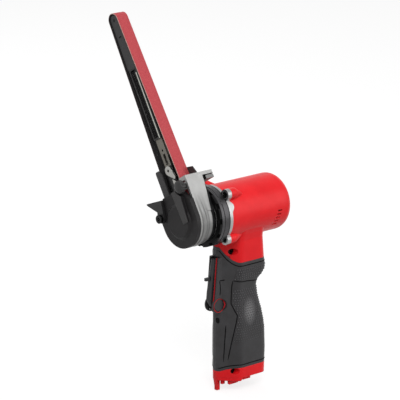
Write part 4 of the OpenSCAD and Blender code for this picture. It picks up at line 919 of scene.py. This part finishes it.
# Mouth of the handle
def make_mouth_lip():
    """The front wall of the battery mouth, which goes on below the housing and tapers into its tongue."""
    skin = surface_of("housing_left", "housing_right")
    centre = Vector((-8.0, 0.0, 1.2)) * MM
    steps, half_turn, fade_front, fade_rear = 72, 100.0, -12.6, -10.8
    lip_drop, tongue_drop, tongue_half, tongue_slope, tongue_lean = 3.0, 12.4, 2.0, 0.5, 1.1
    wall, skin_in, top, toe, heel = 1.7, 0.06, 0.4, 0.4, 0.3
    bm = bmesh.new()
    rings = []
    for i in range(steps + 1):
        turn = math.radians(-half_turn + 2 * half_turn * i / steps)
        away = Vector((-math.cos(turn), math.sin(turn), 0.0))
        place, normal, *_ = skin.ray_cast(centre + away * RAY * MM, -away, RAY * MM)
        if place is None:
            continue
        normal = Vector((normal.x, normal.y, 0.0)).normalized()
        lip_share = min(1.0, max(0.0, (fade_rear - place.x / MM) / (fade_rear - fade_front)))
        if lip_share <= 0.0:
            continue
        tongue_share = min(1.0, max(0.0, (tongue_half + tongue_slope - abs(place.y / MM)) / tongue_slope))
        drop = lip_drop * lip_share + (tongue_drop - lip_drop) * tongue_share
        lean = tongue_lean * tongue_share
        section = [(skin_in, top), (skin_in + lean, toe - drop), (toe + lean, -drop), (wall - heel, -drop),
                   (wall, heel - drop), (wall, top)]
        ring = []
        for inset, height in section:
            point = place - normal * inset * MM
            ring.append(bm.verts.new((point.x, point.y, height * MM)))
        rings.append(ring)
    bridge(bm, rings)
    new_piece("mouth_lip", bm, [finish_of("housing_left")], "handle", False)


def make_mouth_guides():
    """Guide lugs inside the battery mouth on both sides, with rounded lower corners."""
    top, chamfer, arc_steps = 1.0, 0.3, 5
    # each lug: its front and rear x, its foot, its inner and outer y, and the radius of its rear corner
    lugs = [(-20.6, -8.6, -7.2, 7.6, 10.2, 2.4), (-25.0, -21.4, -7.0, 2.6, 5.4, 0.8)]
    bm = bmesh.new()
    for x0, x1, bottom, inner, outer, rounding in lugs:
        outline = [(x0, top), (x0, bottom + rounding / 3), (x0 + rounding / 3, bottom)]
        for k in range(arc_steps + 1):
            a = math.pi / 2 * k / arc_steps
            outline.append((x1 - rounding + rounding * math.sin(a),
                            bottom + rounding - rounding * math.cos(a)))
        outline.append((x1, top))
        layers = ((inner, chamfer), (inner + chamfer, 0.0), (outer - chamfer, 0.0), (outer, chamfer))
        for side in BOTH_SIDES:
            rings = []
            for y, inset in layers:
                ring = []
                for x, z in outline:
                    near_x = min(max(x, x0 + inset), x1 - inset)
                    ring.append(bm.verts.new(Vector((near_x, side * y, max(z, bottom + inset))) * MM))
                rings.append(ring)
            bridge(bm, rings)
    new_piece("mouth_guides", bm, [finish_of("housing_left")], "handle", False)


make_mouth_lip()
make_mouth_guides()


# Floor and light
def seen_from_camera(nodes, links, strength):
    """Strength for what the camera sees, straight or mirrored in gloss and glass."""
    path = nodes.new("ShaderNodeLightPath")
    total = path.outputs["Is Camera Ray"]
    for name in ("Is Glossy Ray", "Is Transmission Ray"):
        either = nodes.new("ShaderNodeMath")
        either.operation = "MAXIMUM"
        links.new(total, either.inputs[0])
        links.new(path.outputs[name], either.inputs[1])
        total = either.outputs[0]
    scale = nodes.new("ShaderNodeMath")
    scale.operation = "MULTIPLY"
    links.new(total, scale.inputs[0])
    scale.inputs[1].default_value = strength
    return scale.outputs[0]


def floor_white():
    """A pale floor that keeps the object's shadow and looks white from the camera."""
    grey, glow_strength = 0.30, 0.78
    mat = bpy.data.materials.new("floor_white")
    mat.use_nodes = True
    nodes, links = mat.node_tree.nodes, mat.node_tree.links
    nodes.clear()
    out = nodes.new("ShaderNodeOutputMaterial")
    both = nodes.new("ShaderNodeAddShader")
    diffuse = nodes.new("ShaderNodeBsdfDiffuse")
    diffuse.inputs["Color"].default_value = (grey, grey, grey, 1.0)
    glow = nodes.new("ShaderNodeEmission")
    links.new(seen_from_camera(nodes, links, glow_strength), glow.inputs["Strength"])
    links.new(diffuse.outputs[0], both.inputs[0])
    links.new(glow.outputs[0], both.inputs[1])
    links.new(both.outputs[0], out.inputs["Surface"])
    return mat


def make_stage():
    """A wide round floor just below the object."""
    radius, segments, gap = 9.0, 96, 0.0005
    bm = bmesh.new()
    bmesh.ops.create_circle(bm, cap_ends=True, segments=segments, radius=radius)
    mesh = bpy.data.meshes.new("floor")
    bm.to_mesh(mesh)
    bm.free()
    floor = bpy.data.objects.new("floor", mesh)
    floor.location = (0.0, 0.0, cad_low[2] - gap)
    mesh.materials.append(floor_white())
    bpy.context.scene.collection.objects.link(floor)


def make_world():
    """A white surround for the camera, and softer light from it on the object."""
    ambient = 0.42
    world = bpy.data.worlds.new("studio")
    bpy.context.scene.world = world
    world.use_nodes = True
    nodes, links = world.node_tree.nodes, world.node_tree.links
    background = nodes["Background"]
    background.inputs["Color"].default_value = (1.0, 1.0, 1.0, 1.0)
    strip_light = nodes.new("ShaderNodeMath")
    strip_light.operation = "MAXIMUM"
    links.new(seen_from_camera(nodes, links, 1.0), strip_light.inputs[0])
    strip_light.inputs[1].default_value = ambient
    links.new(strip_light.outputs[0], background.inputs["Strength"])


def soft_box(name, place, aim, size, watts):
    """A square or oblong lamp at a place, turned towards a point."""
    data = bpy.data.lights.new(name, "AREA")
    data.shape = "RECTANGLE"
    data.size, data.size_y = size
    data.energy = watts
    lamp = bpy.data.objects.new(name, data)
    lamp.location = place
    lamp.rotation_euler = (Vector(aim) - Vector(place)).to_track_quat("-Z", "Y").to_euler()
    bpy.context.scene.collection.objects.link(lamp)


make_stage()
make_world()
soft_box("key", (-0.9, -1.1, 1.5), aim=(0.0, 0.0, 0.14), size=(0.9, 0.9), watts=18.0)
soft_box("fill", (0.9, -1.2, 0.6), aim=(0.0, 0.0, 0.12), size=(0.8, 1.2), watts=7.5)
soft_box("back", (0.4, 1.3, 1.2), aim=(0.0, 0.0, 0.15), size=(1.0, 0.8), watts=6.0)
bpy.context.scene.view_settings.view_transform = "Standard"
